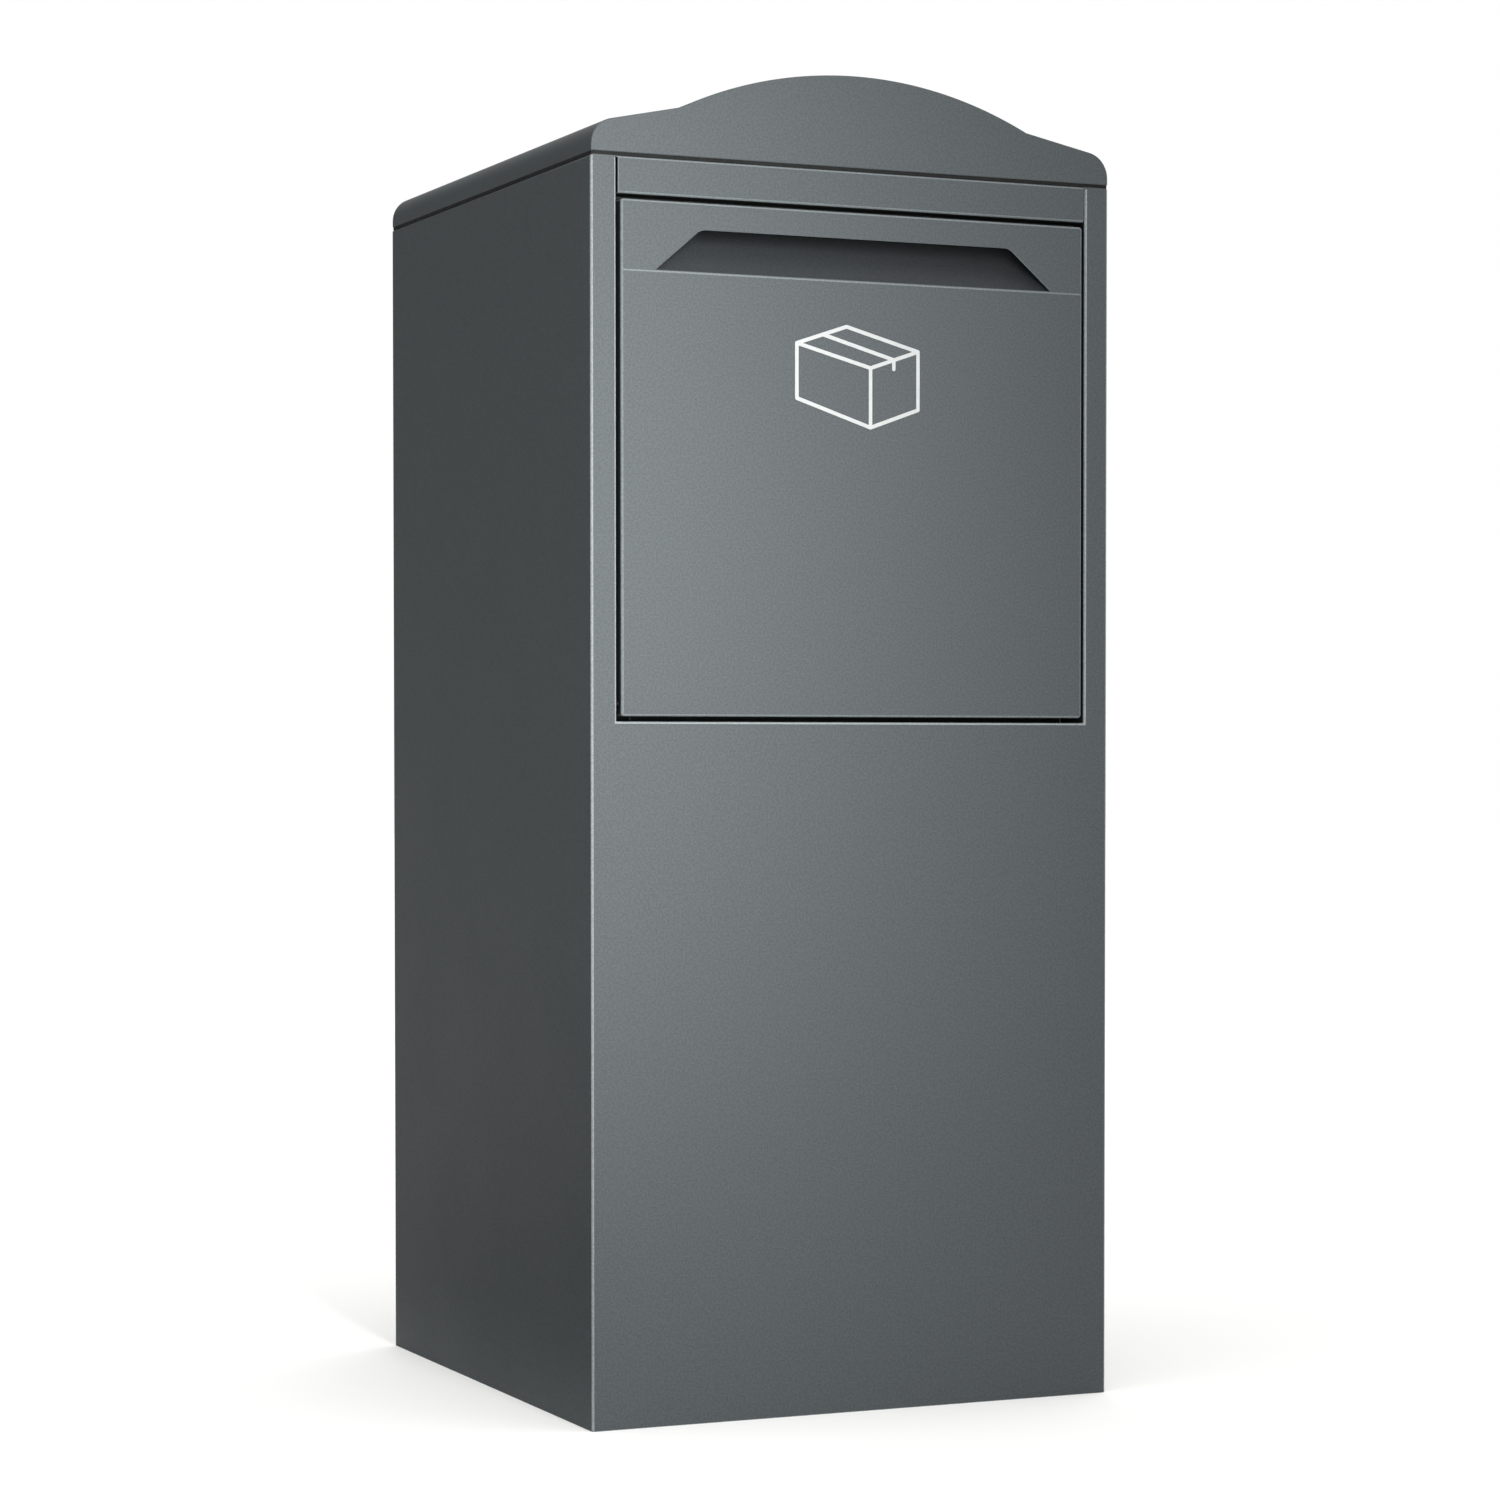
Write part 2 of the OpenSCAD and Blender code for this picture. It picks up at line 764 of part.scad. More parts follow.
// Sloping tray and side walls behind the grip opening
module grip_pocket() {
  near = front + skin_in;
  far = front + grip_depth;
  color(PAINT_DARK) {
    along_x(-pocket_in_x, 2 * pocket_in_x) {
      polygon([
        [near, pocket_foot_z], [far, pocket_top_z], [far, pocket_top_z - 2 * sheet_t],
        [near, pocket_foot_z - 2 * sheet_t]
      ]);
      translate([near, pocket_top_z - sheet_t / 2])
        square([far - near, 1.5 * sheet_t]);
    }
    for (side = [-1, 1])
      along_x(side > 0 ? pocket_in_x : -pocket_in_x - sheet_t, sheet_t)
        polygon([
          [near, pocket_foot_z - 2 * sheet_t], [far, pocket_top_z - 2 * sheet_t],
          [far, pocket_top_z + sheet_t], [near, pocket_top_z + sheet_t]
        ]);
  }
}

module door_liner() {
  color(PAINT_DARK)
    difference() {
      slab([-door_w / 2 + sheet_t, door_w / 2 - sheet_t], [pan_back - sheet_t, pan_back],
           [liner_foot_z, liner_top_z]);
      both_sides()
        for (z = flange_rivet_zs)
          rod_y(rivet_x, front, front + pan_depth + 5, z, rivet_r);
    }
}

// Two hat sections between the skin and the liner
module door_stiffeners() {
  color(ZINC)
    for (x = [-door_w / 4, door_w / 4])
      difference() {
        slab([x - 25, x + 25], [skin_in, pan_back - sheet_t], [liner_foot_z + 10, pocket_foot_z - 12]);
        slab([x - 23.8, x + 23.8], [skin_in - 1, pan_back - sheet_t - 1.2], [0, body_h]);
      }
}

// One straight stroke of the symbol with round ends, in X and Z
module stroke(a, b) {
  run = b - a;
  translate(a)
    rotate(atan2(run[1], run[0]))
      translate([0, -stroke_w / 2])
        square([norm(run), stroke_w]);
  for (end = [a, b])
    translate(end)
      circle(stroke_w / 2, $fn = 12);
}

module parcel_symbol() {
  color(WHITE)
    along_y(front - door_proud - symbol_t, symbol_t)
      translate([0, symbol_z]) {
        stroke(sym_top, sym_left);
        stroke(sym_top, sym_right);
        stroke(sym_left, sym_mid);
        stroke(sym_right, sym_mid);
        stroke(sym_left, sym_left_foot);
        stroke(sym_mid, sym_mid_foot);
        stroke(sym_right, sym_right_foot);
        stroke(sym_left_foot, sym_mid_foot);
        stroke(sym_right_foot, sym_mid_foot);
        stroke(sym_tape_back, sym_tape_front);
        stroke(sym_tape_front, sym_tape_end);
      }
}

// Outline of a cheek in Y and Z: a sector about the hinge, cut along the tray
module cheek_outline() {
  ear = 1;
  low_z = hinge_z - 6.6;
  reach = tray_len * cos(tray_tilt);
  fall = tray_len * sin(tray_tilt);
  corner = [hinge_y + cheek_r * cos(cheek_corner_angle), hinge_z + cheek_r * sin(cheek_corner_angle)];
  far = 1.5 * cheek_r;
  intersection() {
    translate([hinge_y, hinge_z])
      circle(cheek_r, $fn = 180);
    polygon([
      [front + ear, low_z], [front + pan_back + ear, low_z],
      [front + pan_back + reach - 6, tray_foot_z - fall - 6],
      [front + pan_back + reach + 2, tray_foot_z - fall + 4], corner,
      [hinge_y + far * cos(cheek_corner_angle), hinge_z + far * sin(cheek_corner_angle)],
      [front + pan_back, hinge_z + far], [front + pan_back, liner_foot_z - 2],
      [front + ear, liner_foot_z - 2]
    ]);
  }
}

// A cheek for the right-hand side: plate, folds for the liner and the tray, and its stop tab
module cheek() {
  difference() {
    union() {
      along_x(cheek_in, sheet_t)
        cheek_outline();
      slab([cheek_in - fold_w, cheek_in + sheet_t / 2], [pan_back, pan_back + sheet_t],
           [hinge_z + 60, liner_top_z - 20]);
      along_x(cheek_in - fold_w, fold_w + sheet_t / 2)
        translate([front + pan_back, tray_foot_z])
          rotate(-tray_tilt)
            translate([12, -sheet_t])
              square([tray_len - 24, sheet_t]);
      translate([0, hinge_y, hinge_z])
        rotate([-hopper_angle, 0, 0])
          translate([cheek_x - sheet_t / 2, tab_front - hinge_depth, buffer_foot_z - hinge_z])
            cube([6 + sheet_t / 2, sheet_t, buffer_h]);
    }
    rod_x(cheek_in - 1, cheek_x + 1, hinge_y, hinge_z, hinge_pin_r + bush_wall);
    for (z = flange_rivet_zs)
      rod_y(rivet_x, front + pan_back - 1, front + pan_back + 3, z, rivet_r);
    tray_rivet_places()
      translate([0, 0, -6])
        cylinder(h = 12, r = rivet_r);
  }
}

// Puts its child on the tray at each rivet, with +Z square to the tray
module tray_rivet_places() {
  for (run = tray_rivet_runs)
    translate([rivet_x, front + pan_back, tray_foot_z])
      rotate([-tray_tilt, 0, 0])
        translate([0, run, 0])
          children();
}

module left_cheek() {
  color(PAINT_DARK)
    scale([-1, 1, 1])
      cheek();
}

module right_cheek() {
  color(PAINT_DARK)
    cheek();
}

module chute_tray() {
  color(PAINT_DARK)
    difference() {
      along_x(-cheek_in, 2 * cheek_in) {
        translate([front + pan_back, tray_foot_z])
          square([sheet_t, 24]);
        translate([front + pan_back, tray_foot_z])
          rotate(-tray_tilt) {
            square([tray_len, sheet_t]);
            translate([tray_len - sheet_t, -8])
              square([sheet_t, 8 + sheet_t]);
          }
      }
      both_sides()
        tray_rivet_places()
          translate([0, 0, -6])
            cylinder(h = 12, r = rivet_r);
    }
}

module hopper_rivets() {
  color(ZINC)
    both_sides() {
      for (z = flange_rivet_zs)
        translate([rivet_x, front + pan_back - sheet_t, z])
          rotate([-90, 0, 0])
            rivet(2 * sheet_t);
      tray_rivet_places()
        translate([0, 0, -sheet_t])
          rivet(2 * sheet_t);
    }
}

// Flanged bushes that carry the drop door and cheeks on the hinge pins
module hinge_bushes() {
  outer_r = hinge_pin_r + bush_wall;
  color(BRASS)
    both_sides()
      difference() {
        union() {
          rod_x(cheek_in, door_w / 2, hinge_y, hinge_z, outer_r);
          rod_x(cheek_in - bush_flange_t, cheek_in, hinge_y, hinge_z, outer_r + 1.2);
        }
        rod_x(cheek_in - bush_flange_t - 1, door_w / 2 + 1, hinge_y, hinge_z, hinge_pin_r + 0.05);
      }
}

// ---- Rear door and lock ----

// The rear door's block with rounded rear edges, moved inwards all round
module rear_block(inset) {
  r = bend_r - inset;
  height = rear_opening_h - 2 * rear_gap - 2 * inset;
  intersection() {
    translate([0, 0, rear_sill_h + rear_gap + inset])
      linear_extrude(height)
        translate([0, rear - rear_pan_depth])
          rounded_rect(2 * rear_door_half - 2 * inset, 2 * rear_pan_depth - 2 * inset, r);
    along_x(-rear_door_half, 2 * rear_door_half)
      translate([rear - rear_pan_depth, lock_z])
        rounded_rect(2 * rear_pan_depth - 2 * inset, height, r);
  }
}

module rear_door() {
  color(PAINT)
    difference() {
      rear_block(0);
      rear_block(sheet_t);
      translate([-body_w, rear_pan_y - 3 * rear_pan_depth, 0])
        cube([2 * body_w, 3 * rear_pan_depth, body_h]);
      for (z = [rear_sill_h, rear_top_z - rear_gap - rear_ear])
        translate([rear_hinge_x, rear_hinge_y, z])
          cylinder(h = rear_gap + rear_ear, r = rear_bush_r);
      rod_y(lock_x, rear - 5, rear + 1, lock_z, lock_r);
    }
}

module rear_door_stiffener() {
  back = rear - sheet_t;
  color(ZINC)
    difference() {
      translate([-30, rear_pan_y + 2, rear_sill_h + 40])
        cube([60, back - rear_pan_y - 2, rear_opening_h - 80]);
      translate([-28.8, rear_pan_y + 3.2, 0])
        cube([57.6, rear_pan_depth, body_h]);
    }
}

module rear_hinge_bushes() {
  low = rear_sill_h + rest_gap;
  high = rear_top_z - rear_gap - rear_ear;
  color(BRASS)
    for (z = [low, high])
      translate([rear_hinge_x, rear_hinge_y, z])
        difference() {
          cylinder(h = rear_gap + rear_ear - rest_gap, r = rear_bush_r);
          translate([0, 0, -1])
            cylinder(h = rear_gap + rear_ear + 2, r = rear_pin_r + 0.05);
        }
}

module rear_hinge_pins() {
  reach = rear_gap + sheet_t + rear_ear;
  color(ZINC) {
    translate([rear_hinge_x, rear_hinge_y, rear_sill_h - sheet_t])
      cylinder(h = reach, r = rear_pin_r);
    translate([rear_hinge_x, rear_hinge_y, rear_top_z + sheet_t - reach])
      cylinder(h = reach, r = rear_pin_r);
  }
}

// Angles on the free side of the frame that the rear door closes against
module rear_door_stops() {
  color(ZINC)
    for (z = rear_stop_zs)
      translate([-rear_half, frame_return_y, z]) {
        cube([rear_stop_t, rear_pan_depth - 2, rear_stop_h]);
        cube([14, sheet_t, rear_stop_h]);
      }
}

module rear_door_pads() {
  color(RUBBER)
    for (z = rear_stop_zs)
      translate([-rear_half + rear_stop_t + rear_gap / 4, frame_return_y + sheet_t, z + 2])
        cube([9, rear_pan_y - frame_return_y - sheet_t - rest_gap, rear_stop_h - 4]);
}

module lock_housing() {
  color(ZINC)
    difference() {
      union() {
        rod_y(lock_x, lock_inner_y, rear, lock_z, lock_r);
        rod_y(lock_x, rear, rear + lock_head_h, lock_z, lock_r + 2);
      }
      rod_y(lock_x, lock_inner_y - 1, rear + lock_head_h + 1, lock_z, lock_plug_r + 0.05);
    }
}

module lock_nut() {
  color(ZINC)
    translate([lock_x, rear - sheet_t - lock_nut_h, lock_z])
      rotate([-90, 0, 0])
        difference() {
          cylinder(h = lock_nut_h, r = lock_r + 4, $fn = 6);
          translate([0, 0, -1])
            cylinder(h = lock_nut_h + 2, r = lock_r, $fn = 48);
        }
}

module lock_plug() {
  color(ZINC)
    difference() {
      union() {
        rod_y(lock_x, lock_inner_y - 0.2, rear + lock_head_h - 0.3, lock_z, lock_plug_r);
        rod_y(lock_x, lock_inner_y - cam_t - 0.4, lock_inner_y, lock_z, cam_hub_r);
      }
      translate([lock_x - 0.9, rear - 14, lock_z - 4])
        cube([1.8, 20, 8]);
      rod_y(lock_x, lock_inner_y - 5, lock_inner_y + 6, lock_z, cam_screw_r);
    }
}

module lock_cam() {
  color(ZINC)
    difference() {
      union() {
        rod_y(lock_x, lock_inner_y - cam_t - 0.2, lock_inner_y - 0.2, lock_z, 9);
        translate([lock_x - cam_w / 2, lock_inner_y - cam_t - 0.2, lock_z])
          cube([cam_w, cam_t, cam_len]);
      }
      rod_y(lock_x, lock_inner_y - 5, lock_inner_y + 1, lock_z, cam_hub_r);
    }
}

module cam_screw() {
  color(ZINC) {
    rod_y(lock_x, lock_inner_y - cam_t - 3.4, lock_inner_y - cam_t - 0.4, lock_z, 5.5);
    rod_y(lock_x, lock_inner_y - cam_t - 0.4, lock_inner_y + 5, lock_z, cam_screw_r);
  }
}

body_shell();
base_plate();
back_panel();
back_panel_rivets();
header_strip();
header_screws();
roof_cap();
cap_gasket();
cap_screws();
cap_nuts();
door_stop_frame();
door_seal();
hinge_brackets();
hopper_hinge_pins();
closing_springs();
stop_buffers();
rear_deflector();
deflector_rivets();
rear_hinge_pins();
rear_door_stops();
rear_door_pads();
drop_door();
grip_pocket();
door_liner();
door_stiffeners();
parcel_symbol();
left_cheek();
right_cheek();
chute_tray();
hopper_rivets();
hinge_bushes();
rear_door();
rear_door_stiffener();
rear_hinge_bushes();
lock_housing();
lock_nut();
lock_plug();
lock_cam();
cam_screw();
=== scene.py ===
# %% [markdown]
# # A parcel drop box in powder-coated sheet steel
#
# This lesson finishes a CAD model of a parcel drop box. The CAD model is loaded as a fixed
# frame: its nodes already have their true sizes and places, in metres, with +Z up and the drop
# door facing -Y. Nothing in the frame is moved. Blender's share of the work is what the eye
# reads: the rounded folds of the sheet, the grain of its coating, the metal of the lock and
# hinges, and the light.
#
# The large sheet pieces are modelled again here by hand, because a bent sheet shows its
# thickness and its soft folds at every edge. The small turned and punched pieces keep their CAD
# shape, and get a material.

# %% Load the frame
import math

import bmesh
import bpy
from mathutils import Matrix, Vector


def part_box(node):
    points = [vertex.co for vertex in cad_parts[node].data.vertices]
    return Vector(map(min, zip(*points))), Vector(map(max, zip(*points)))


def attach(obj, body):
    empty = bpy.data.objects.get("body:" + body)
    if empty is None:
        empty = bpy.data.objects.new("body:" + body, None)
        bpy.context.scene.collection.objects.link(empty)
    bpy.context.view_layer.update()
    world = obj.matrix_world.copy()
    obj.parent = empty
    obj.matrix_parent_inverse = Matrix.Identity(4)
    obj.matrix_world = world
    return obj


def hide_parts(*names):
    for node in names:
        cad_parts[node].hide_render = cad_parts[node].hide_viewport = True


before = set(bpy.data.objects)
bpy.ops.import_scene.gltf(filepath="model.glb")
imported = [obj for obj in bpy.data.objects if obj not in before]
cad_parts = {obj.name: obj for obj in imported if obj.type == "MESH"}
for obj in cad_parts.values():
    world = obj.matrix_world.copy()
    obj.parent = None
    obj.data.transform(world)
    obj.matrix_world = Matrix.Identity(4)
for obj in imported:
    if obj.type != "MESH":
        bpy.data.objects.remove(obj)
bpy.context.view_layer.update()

MM = 0.001

# %% [markdown]
# ## Helpers for materials
#
# Colours are written as sRGB hex values, the way a paint chart gives them, and one function
# turns them to Blender's linear values. One function adds a node. Patterns are sized from
# real millimetres: noise with scale S repeats about every 1/S metres on Object coordinates.

# %% Colour and node helpers
def linear(hex_colour, lighter=1.0):
    """The linear colour, with alpha, of an sRGB hex value such as '#383e42'."""
    values = [int(hex_colour[i:i + 2], 16) / 255 for i in (1, 3, 5)]
    levels = [v / 12.92 if v <= 0.04045 else ((v + 0.055) / 1.055) ** 2.4 for v in values]
    return tuple(min(1, lighter * level) for level in levels) + (1,)


def add(tree, kind, links=None, **settings):
    """A new node. Settings are its attributes or inputs, and links maps an input to a socket."""
    node = tree.nodes.new(kind)
    for name, value in settings.items():
        if hasattr(node, name):
            setattr(node, name, value)
        else:
            node.inputs[name.replace("_", " ")].default_value = value
    for name, socket in (links or {}).items():
        tree.links.new(socket, node.inputs[name])
    return node


def ramp(tree, value, start, end, low, high):
    """Takes a value that runs from start to end smoothly to low and high."""
    node = add(tree, "ShaderNodeMapRange", {"Value": value}, interpolation_type="SMOOTHSTEP",
               From_Min=start, From_Max=end, To_Min=low, To_Max=high)
    return node.outputs["Result"]


def between(tree, factor, first, second):
    """The colour between two hex colours, or linear colours, at this factor."""
    node = add(tree, "ShaderNodeMix", {"Factor": factor}, data_type="RGBA")
    for socket, colour in ((6, first), (7, second)):
        node.inputs[socket].default_value = linear(colour) if isinstance(colour, str) else colour
    return node.outputs[2]


NOISE_SPAN = (0.3, 0.7)


def noise(tree, where, size_mm, detail=2.0):
    """Noise whose features are about this many millimetres apart. It mostly keeps to its span."""
    node = add(tree, "ShaderNodeTexNoise", {"Vector": where}, Scale=1 / (size_mm * MM),
               Detail=detail)
    return node.outputs["Fac"]


def bump(tree, shader, height, height_mm):
    """Raises the surface by this many millimetres where height is 1."""
    node = add(tree, "ShaderNodeBump", {"Height": height}, Strength=1.0, Distance=height_mm * MM)
    tree.links.new(node.outputs["Normal"], shader.inputs["Normal"])


def new_surface(name, **values):
    """A material with its node tree, its shader and its Object coordinates."""
    material = bpy.data.materials.new(name)
    material.use_nodes = True
    tree = material.node_tree
    shader = tree.nodes["Principled BSDF"]
    for key, value in values.items():
        shader.inputs[key.replace("_", " ")].default_value = value
    coordinates = add(tree, "ShaderNodeTexCoord")
    return material, tree, shader, coordinates.outputs["Object"]

# %% [markdown]
# ## The camera
#
# The box stands a little turned, so that its front and its left side show. A long lens from
# about three metres keeps the upright edges nearly parallel. The camera stands at about half
# the height of the box and looks almost level. A small lens shift puts the box in the middle of
# the frame without tilting the camera, as an architect's shift lens does.

# %% Camera
body_low, body_high = map(Vector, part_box("body_shell"))
body_width = body_high.x - body_low.x
widths_left, widths_ahead, widths_up = 2.8902, 6.1245, 1.1631
turn, tilt = math.radians(24.287), math.radians(-1.62)
camera_data = bpy.data.cameras.new("camera")
camera_data.sensor_width = 36
camera_data.lens = 92.51
camera_data.shift_x = -0.0275
camera_data.shift_y = 0.0742
camera = bpy.data.objects.new("camera", camera_data)
bpy.context.scene.collection.objects.link(camera)
bpy.context.scene.camera = camera

camera.location = (-widths_left * body_width, body_low.y - widths_ahead * body_width,
                   widths_up * body_width)
looking = Vector((math.sin(turn) * math.cos(tilt), math.cos(turn) * math.cos(tilt), math.sin(tilt)))
camera.rotation_mode = "QUATERNION"
camera.rotation_quaternion = looking.to_track_quat("-Z", "Y")
print("camera at", tuple(round(value, 3) for value in camera.location))

# %% [markdown]
# ## The studio
#
# A plain pale floor runs out to a white surround. The key light is a tall soft panel in front
# of the box, near its left edge, so the front fades from light at the left to dark at the
# right. The left side is only lit by the surround and stays dark. A studio would lay a dark cloth
# on the floor beside it. Here the floor itself is dark in that place, for every ray that does
# not come from the camera.

# %% Floor
bpy.ops.object.select_all(action="DESELECT")
bpy.ops.mesh.primitive_plane_add(size=40, location=(0, 0, 0))
floor = bpy.context.active_object
floor.name = "floor"
floor_paint, floor_tree, floor_shader, floor_place = new_surface("pale_floor", Roughness=0.9)
cloth_middle = (-0.85, -0.2)
cloth_half = (0.62, 1.05)
cloth_soft = 0.15
floor_glow = 0.12
beside = add(floor_tree, "ShaderNodeSeparateXYZ", {"Vector": floor_place})
for_camera = add(floor_tree, "ShaderNodeLightPath").outputs["Is Camera Ray"]
on_cloth = ramp(floor_tree, for_camera, 0.0, 1.0, 1.0, 0.0)
for axis, middle, half in zip("XY", cloth_middle, cloth_half):
    away = add(floor_tree, "ShaderNodeMath", {0: beside.outputs[axis]}, operation="SUBTRACT")
    away.inputs[1].default_value = middle
    away = add(floor_tree, "ShaderNodeMath", {0: away.outputs["Value"]}, operation="ABSOLUTE")
    inside = ramp(floor_tree, away.outputs["Value"], half - cloth_soft, half, 1.0, 0.0)
    on_cloth = add(floor_tree, "ShaderNodeMath", {0: on_cloth, 1: inside},
                   operation="MULTIPLY").outputs["Value"]
floor_tree.links.new(between(floor_tree, on_cloth, "#f4f4f2", "#6a6a6a"),
                     floor_shader.inputs["Base Color"])
floor_tree.links.new(ramp(floor_tree, for_camera, 0.0, 1.0, 0.0, floor_glow),
                     floor_shader.inputs["Emission Strength"])
floor_shader.inputs["Emission Color"].default_value = (1, 1, 1, 1)
floor.data.materials.append(floor_paint)

# %% Lights
def soft_panel(name, place, aim, size, watts, spread):
    """An area light, width by height, that points from its place at a point on the box."""
    data = bpy.data.lights.new(name, "AREA")
    data.shape = "RECTANGLE"
    data.size, data.size_y = size
    data.energy = watts
    data.spread = math.radians(spread)
    panel = bpy.data.objects.new(name, data)
    bpy.context.scene.collection.objects.link(panel)
    panel.location = place
    panel.rotation_mode = "QUATERNION"
    panel.rotation_quaternion = (Vector(aim) - Vector(place)).to_track_quat("-Z", "Y")
    panel.visible_camera = False


soft_panel("key_panel", place=(-0.25, -1.25, 0.80), aim=(-0.25, -0.23, 0.68), size=(0.25, 1.0),
           watts=4.5, spread=66)

# %% [markdown]
# The surround lights the box softly from all round. It is brightest overhead, like a studio
# ceiling of soft boxes, and it has one dark card, behind the box on its left. The left side is
# seen at a shallow angle, and there even a matt coat mirrors what stands behind it: the dark
# card keeps that side deep and its edge crisp. The camera itself sees a plain white surround.

# %% Surround
level_glow, ceiling_glow = 0.45, 1.5
card_way = Vector((-0.75, 0.66, 0.0)).normalized()
card_from, card_full, card_dark = 0.35, 0.9, 0.08
world = bpy.data.worlds.new("white_surround")
bpy.context.scene.world = world
world.use_nodes = True
bpy.context.scene.view_settings.view_transform = "Standard"
surround = world.node_tree
direction = add(surround, "ShaderNodeTexCoord").outputs["Generated"]
height = add(surround, "ShaderNodeSeparateXYZ", {"Vector": direction}).outputs["Z"]
card = add(surround, "ShaderNodeVectorMath", {"Vector": direction}, operation="DOT_PRODUCT")
card.inputs[1].default_value = card_way
glow = add(surround, "ShaderNodeMath", operation="MULTIPLY")
surround.links.new(ramp(surround, height, 0.0, 0.9, level_glow, ceiling_glow), glow.inputs[0])
surround.links.new(ramp(surround, card.outputs["Value"], card_from, card_full, 1.0, card_dark),
                   glow.inputs[1])
seen = add(surround, "ShaderNodeLightPath").outputs["Is Camera Ray"]
strength = add(surround, "ShaderNodeMix", {"Factor": seen})
surround.links.new(glow.outputs["Value"], strength.inputs[2])
strength.inputs[3].default_value = 1.0
background = surround.nodes["Background"]
background.inputs["Color"].default_value = (1, 1, 1, 1)
surround.links.new(strength.outputs[0], background.inputs["Strength"])
print("surround:", world.name)

# %% [markdown]
# ## Powder coat
#
# The panels are steel with a baked polyester powder coat, anthracite grey, with a fine
# texture. Powder melts into tiny hills a little over a millimetre apart, which break a highlight
# into a soft glow with a faint sparkle. Three things make it: a grain of small bumps, a
# roughness that wanders a little over a hand's width, and hills that are lighter than hollows.
# The real grain is finer than the render can show, so it is drawn at 1.6 mm.
#
# Every fold shows as a pale line: a painted highlight, drawn as a second material that is lighter
# and smoother, carried by the rounded faces of the folds. The corners of the body get a paler
# painted highlight still. A narrow gap gets a nearly black painted shade, and the inside coat is
# darker than the outside, partly as painted shade.

# %% Powder coats
GRAIN_MM = 1.6
GRAIN_HEIGHT_MM = 0.10
DRIFT_MM = 90
DRIFT = 0.012
HOLLOW, HILL = 0.88, 1.13


def powder_coat(name, colour, roughness):
    material, tree, shader, where = new_surface(name, IOR=1.5, Specular_IOR_Level=0.3)
    grain = noise(tree, where, GRAIN_MM)
    hills = ramp(tree, grain, 0.35, 0.65, 0.0, 1.0)
    tone = between(tree, hills, linear(colour, HOLLOW), linear(colour, HILL))
    tree.links.new(tone, shader.inputs["Base Color"])
    drift = noise(tree, where, DRIFT_MM, detail=3.0)
    tree.links.new(ramp(tree, drift, *NOISE_SPAN, roughness - DRIFT, roughness + DRIFT),
                   shader.inputs["Roughness"])
    bump(tree, shader, grain, GRAIN_HEIGHT_MM)
    return material


outer_coat = powder_coat("powder_coat_outside", "#424749", 0.58)
# The pale coats are painted highlight on folds and corners, the near-black one is painted shade in
# gaps, and the inside coat is partly painted shade.
fold_painted_highlight = powder_coat("powder_coat_painted_highlight_on_folds", "#656b6d", 0.46)
corner_painted_highlight = powder_coat("powder_coat_painted_highlight_on_corners", "#7d8385", 0.44)
inner_coat = powder_coat("powder_coat_inside_and_painted_shade", "#2c2f31", 0.62)
painted_gap_shade = powder_coat("painted_shade_in_gaps", "#0d0e0e", 0.75)

# %% [markdown]
# ## Rubber, film and metals
#
# EPDM rubber is nearly black with a dusty bloom. The parcel drawing is cut vinyl film, an
# off-white that the key light lifts to white.
# The hinge hardware is zinc-plated steel: a grey metal whose plating forms patches a few
# millimetres wide with slightly different sheen. Rivets are satin steel, the springs are
# oiled drawn wire, the bushes are sintered bronze with open pores, and the lock is
# nickel-chrome plate with fine turning marks.

# %% Rubber and film
def epdm_rubber():
    material, tree, shader, where = new_surface("rubber_epdm", IOR=1.52, Specular_IOR_Level=0.3)
    bloom = noise(tree, where, 6, detail=4.0)
    tree.links.new(between(tree, bloom, "#070707", "#121212"), shader.inputs["Base Color"])
    tree.links.new(ramp(tree, bloom, *NOISE_SPAN, 0.75, 0.9), shader.inputs["Roughness"])
    bump(tree, shader, noise(tree, where, 0.8), 0.05)
    return material


def vinyl_film():
    material, tree, shader, where = new_surface("vinyl_film_white", IOR=1.5)
    print_grain = noise(tree, where, 2.5, detail=3.0)
    tree.links.new(between(tree, print_grain, "#9d9f9f", "#aeb0af"), shader.inputs["Base Color"])
    tree.links.new(ramp(tree, print_grain, *NOISE_SPAN, 0.42, 0.55), shader.inputs["Roughness"])
    bump(tree, shader, print_grain, 0.02)
    return material


rubber = epdm_rubber()
film = vinyl_film()

# %% Metals
def metal(name, dark, light, roughness, patch_mm, scratch_mm, scratch_height_mm):
    """A metal with patches of tone and fine marks. Roughness is (smoothest, roughest)."""
    material, tree, shader, where = new_surface(name, Metallic=1.0)
    patches = noise(tree, where, patch_mm, detail=3.0)
    marks = noise(tree, where, scratch_mm, detail=4.0)
    tree.links.new(between(tree, patches, dark, light), shader.inputs["Base Color"])
    tree.links.new(ramp(tree, marks, *NOISE_SPAN, *roughness), shader.inputs["Roughness"])
    bump(tree, shader, marks, scratch_height_mm)
    return material


zinc = metal("steel_zinc_plated", "#8f9598", "#c3c6c4", (0.30, 0.48), 4.0, 0.9, 0.01)
rivet_steel = metal("steel_satin_rivet", "#7d8183", "#a9acad", (0.35, 0.5), 3.0, 0.6, 0.01)
# The same dark wire is also put on the hinge pins as painted shade in the gap round the drop door.
wire_steel_and_painted_shade = metal("steel_oiled_spring_wire_and_painted_shade", "#1a1a1b", "#2b2b2a", (0.35, 0.5), 5.0, 0.5, 0.01)
bronze = metal("bronze_sintered", "#7a5a33", "#a98350", (0.4, 0.6), 1.2, 0.5, 0.03)
chrome = metal("nickel_chrome_plate", "#b9bcbf", "#dcdfe1", (0.12, 0.22), 8.0, 0.4, 0.004)
print("materials:", [material.name for material in bpy.data.materials])

# %% [markdown]
# ## Working by hand, in code
#
# Every operator works on what is selected, so a step is always two lines: pick, then act. The
# helper `pick` selects vertices, edges or faces by where they are and which way they point,
# as a hand would with the mouse. `block` adds a cube, stretches it between two corners and puts
# its place into its mesh, so that the finished object sits at the origin. A direction counts as
# straight when it runs more than nine tenths along an axis.

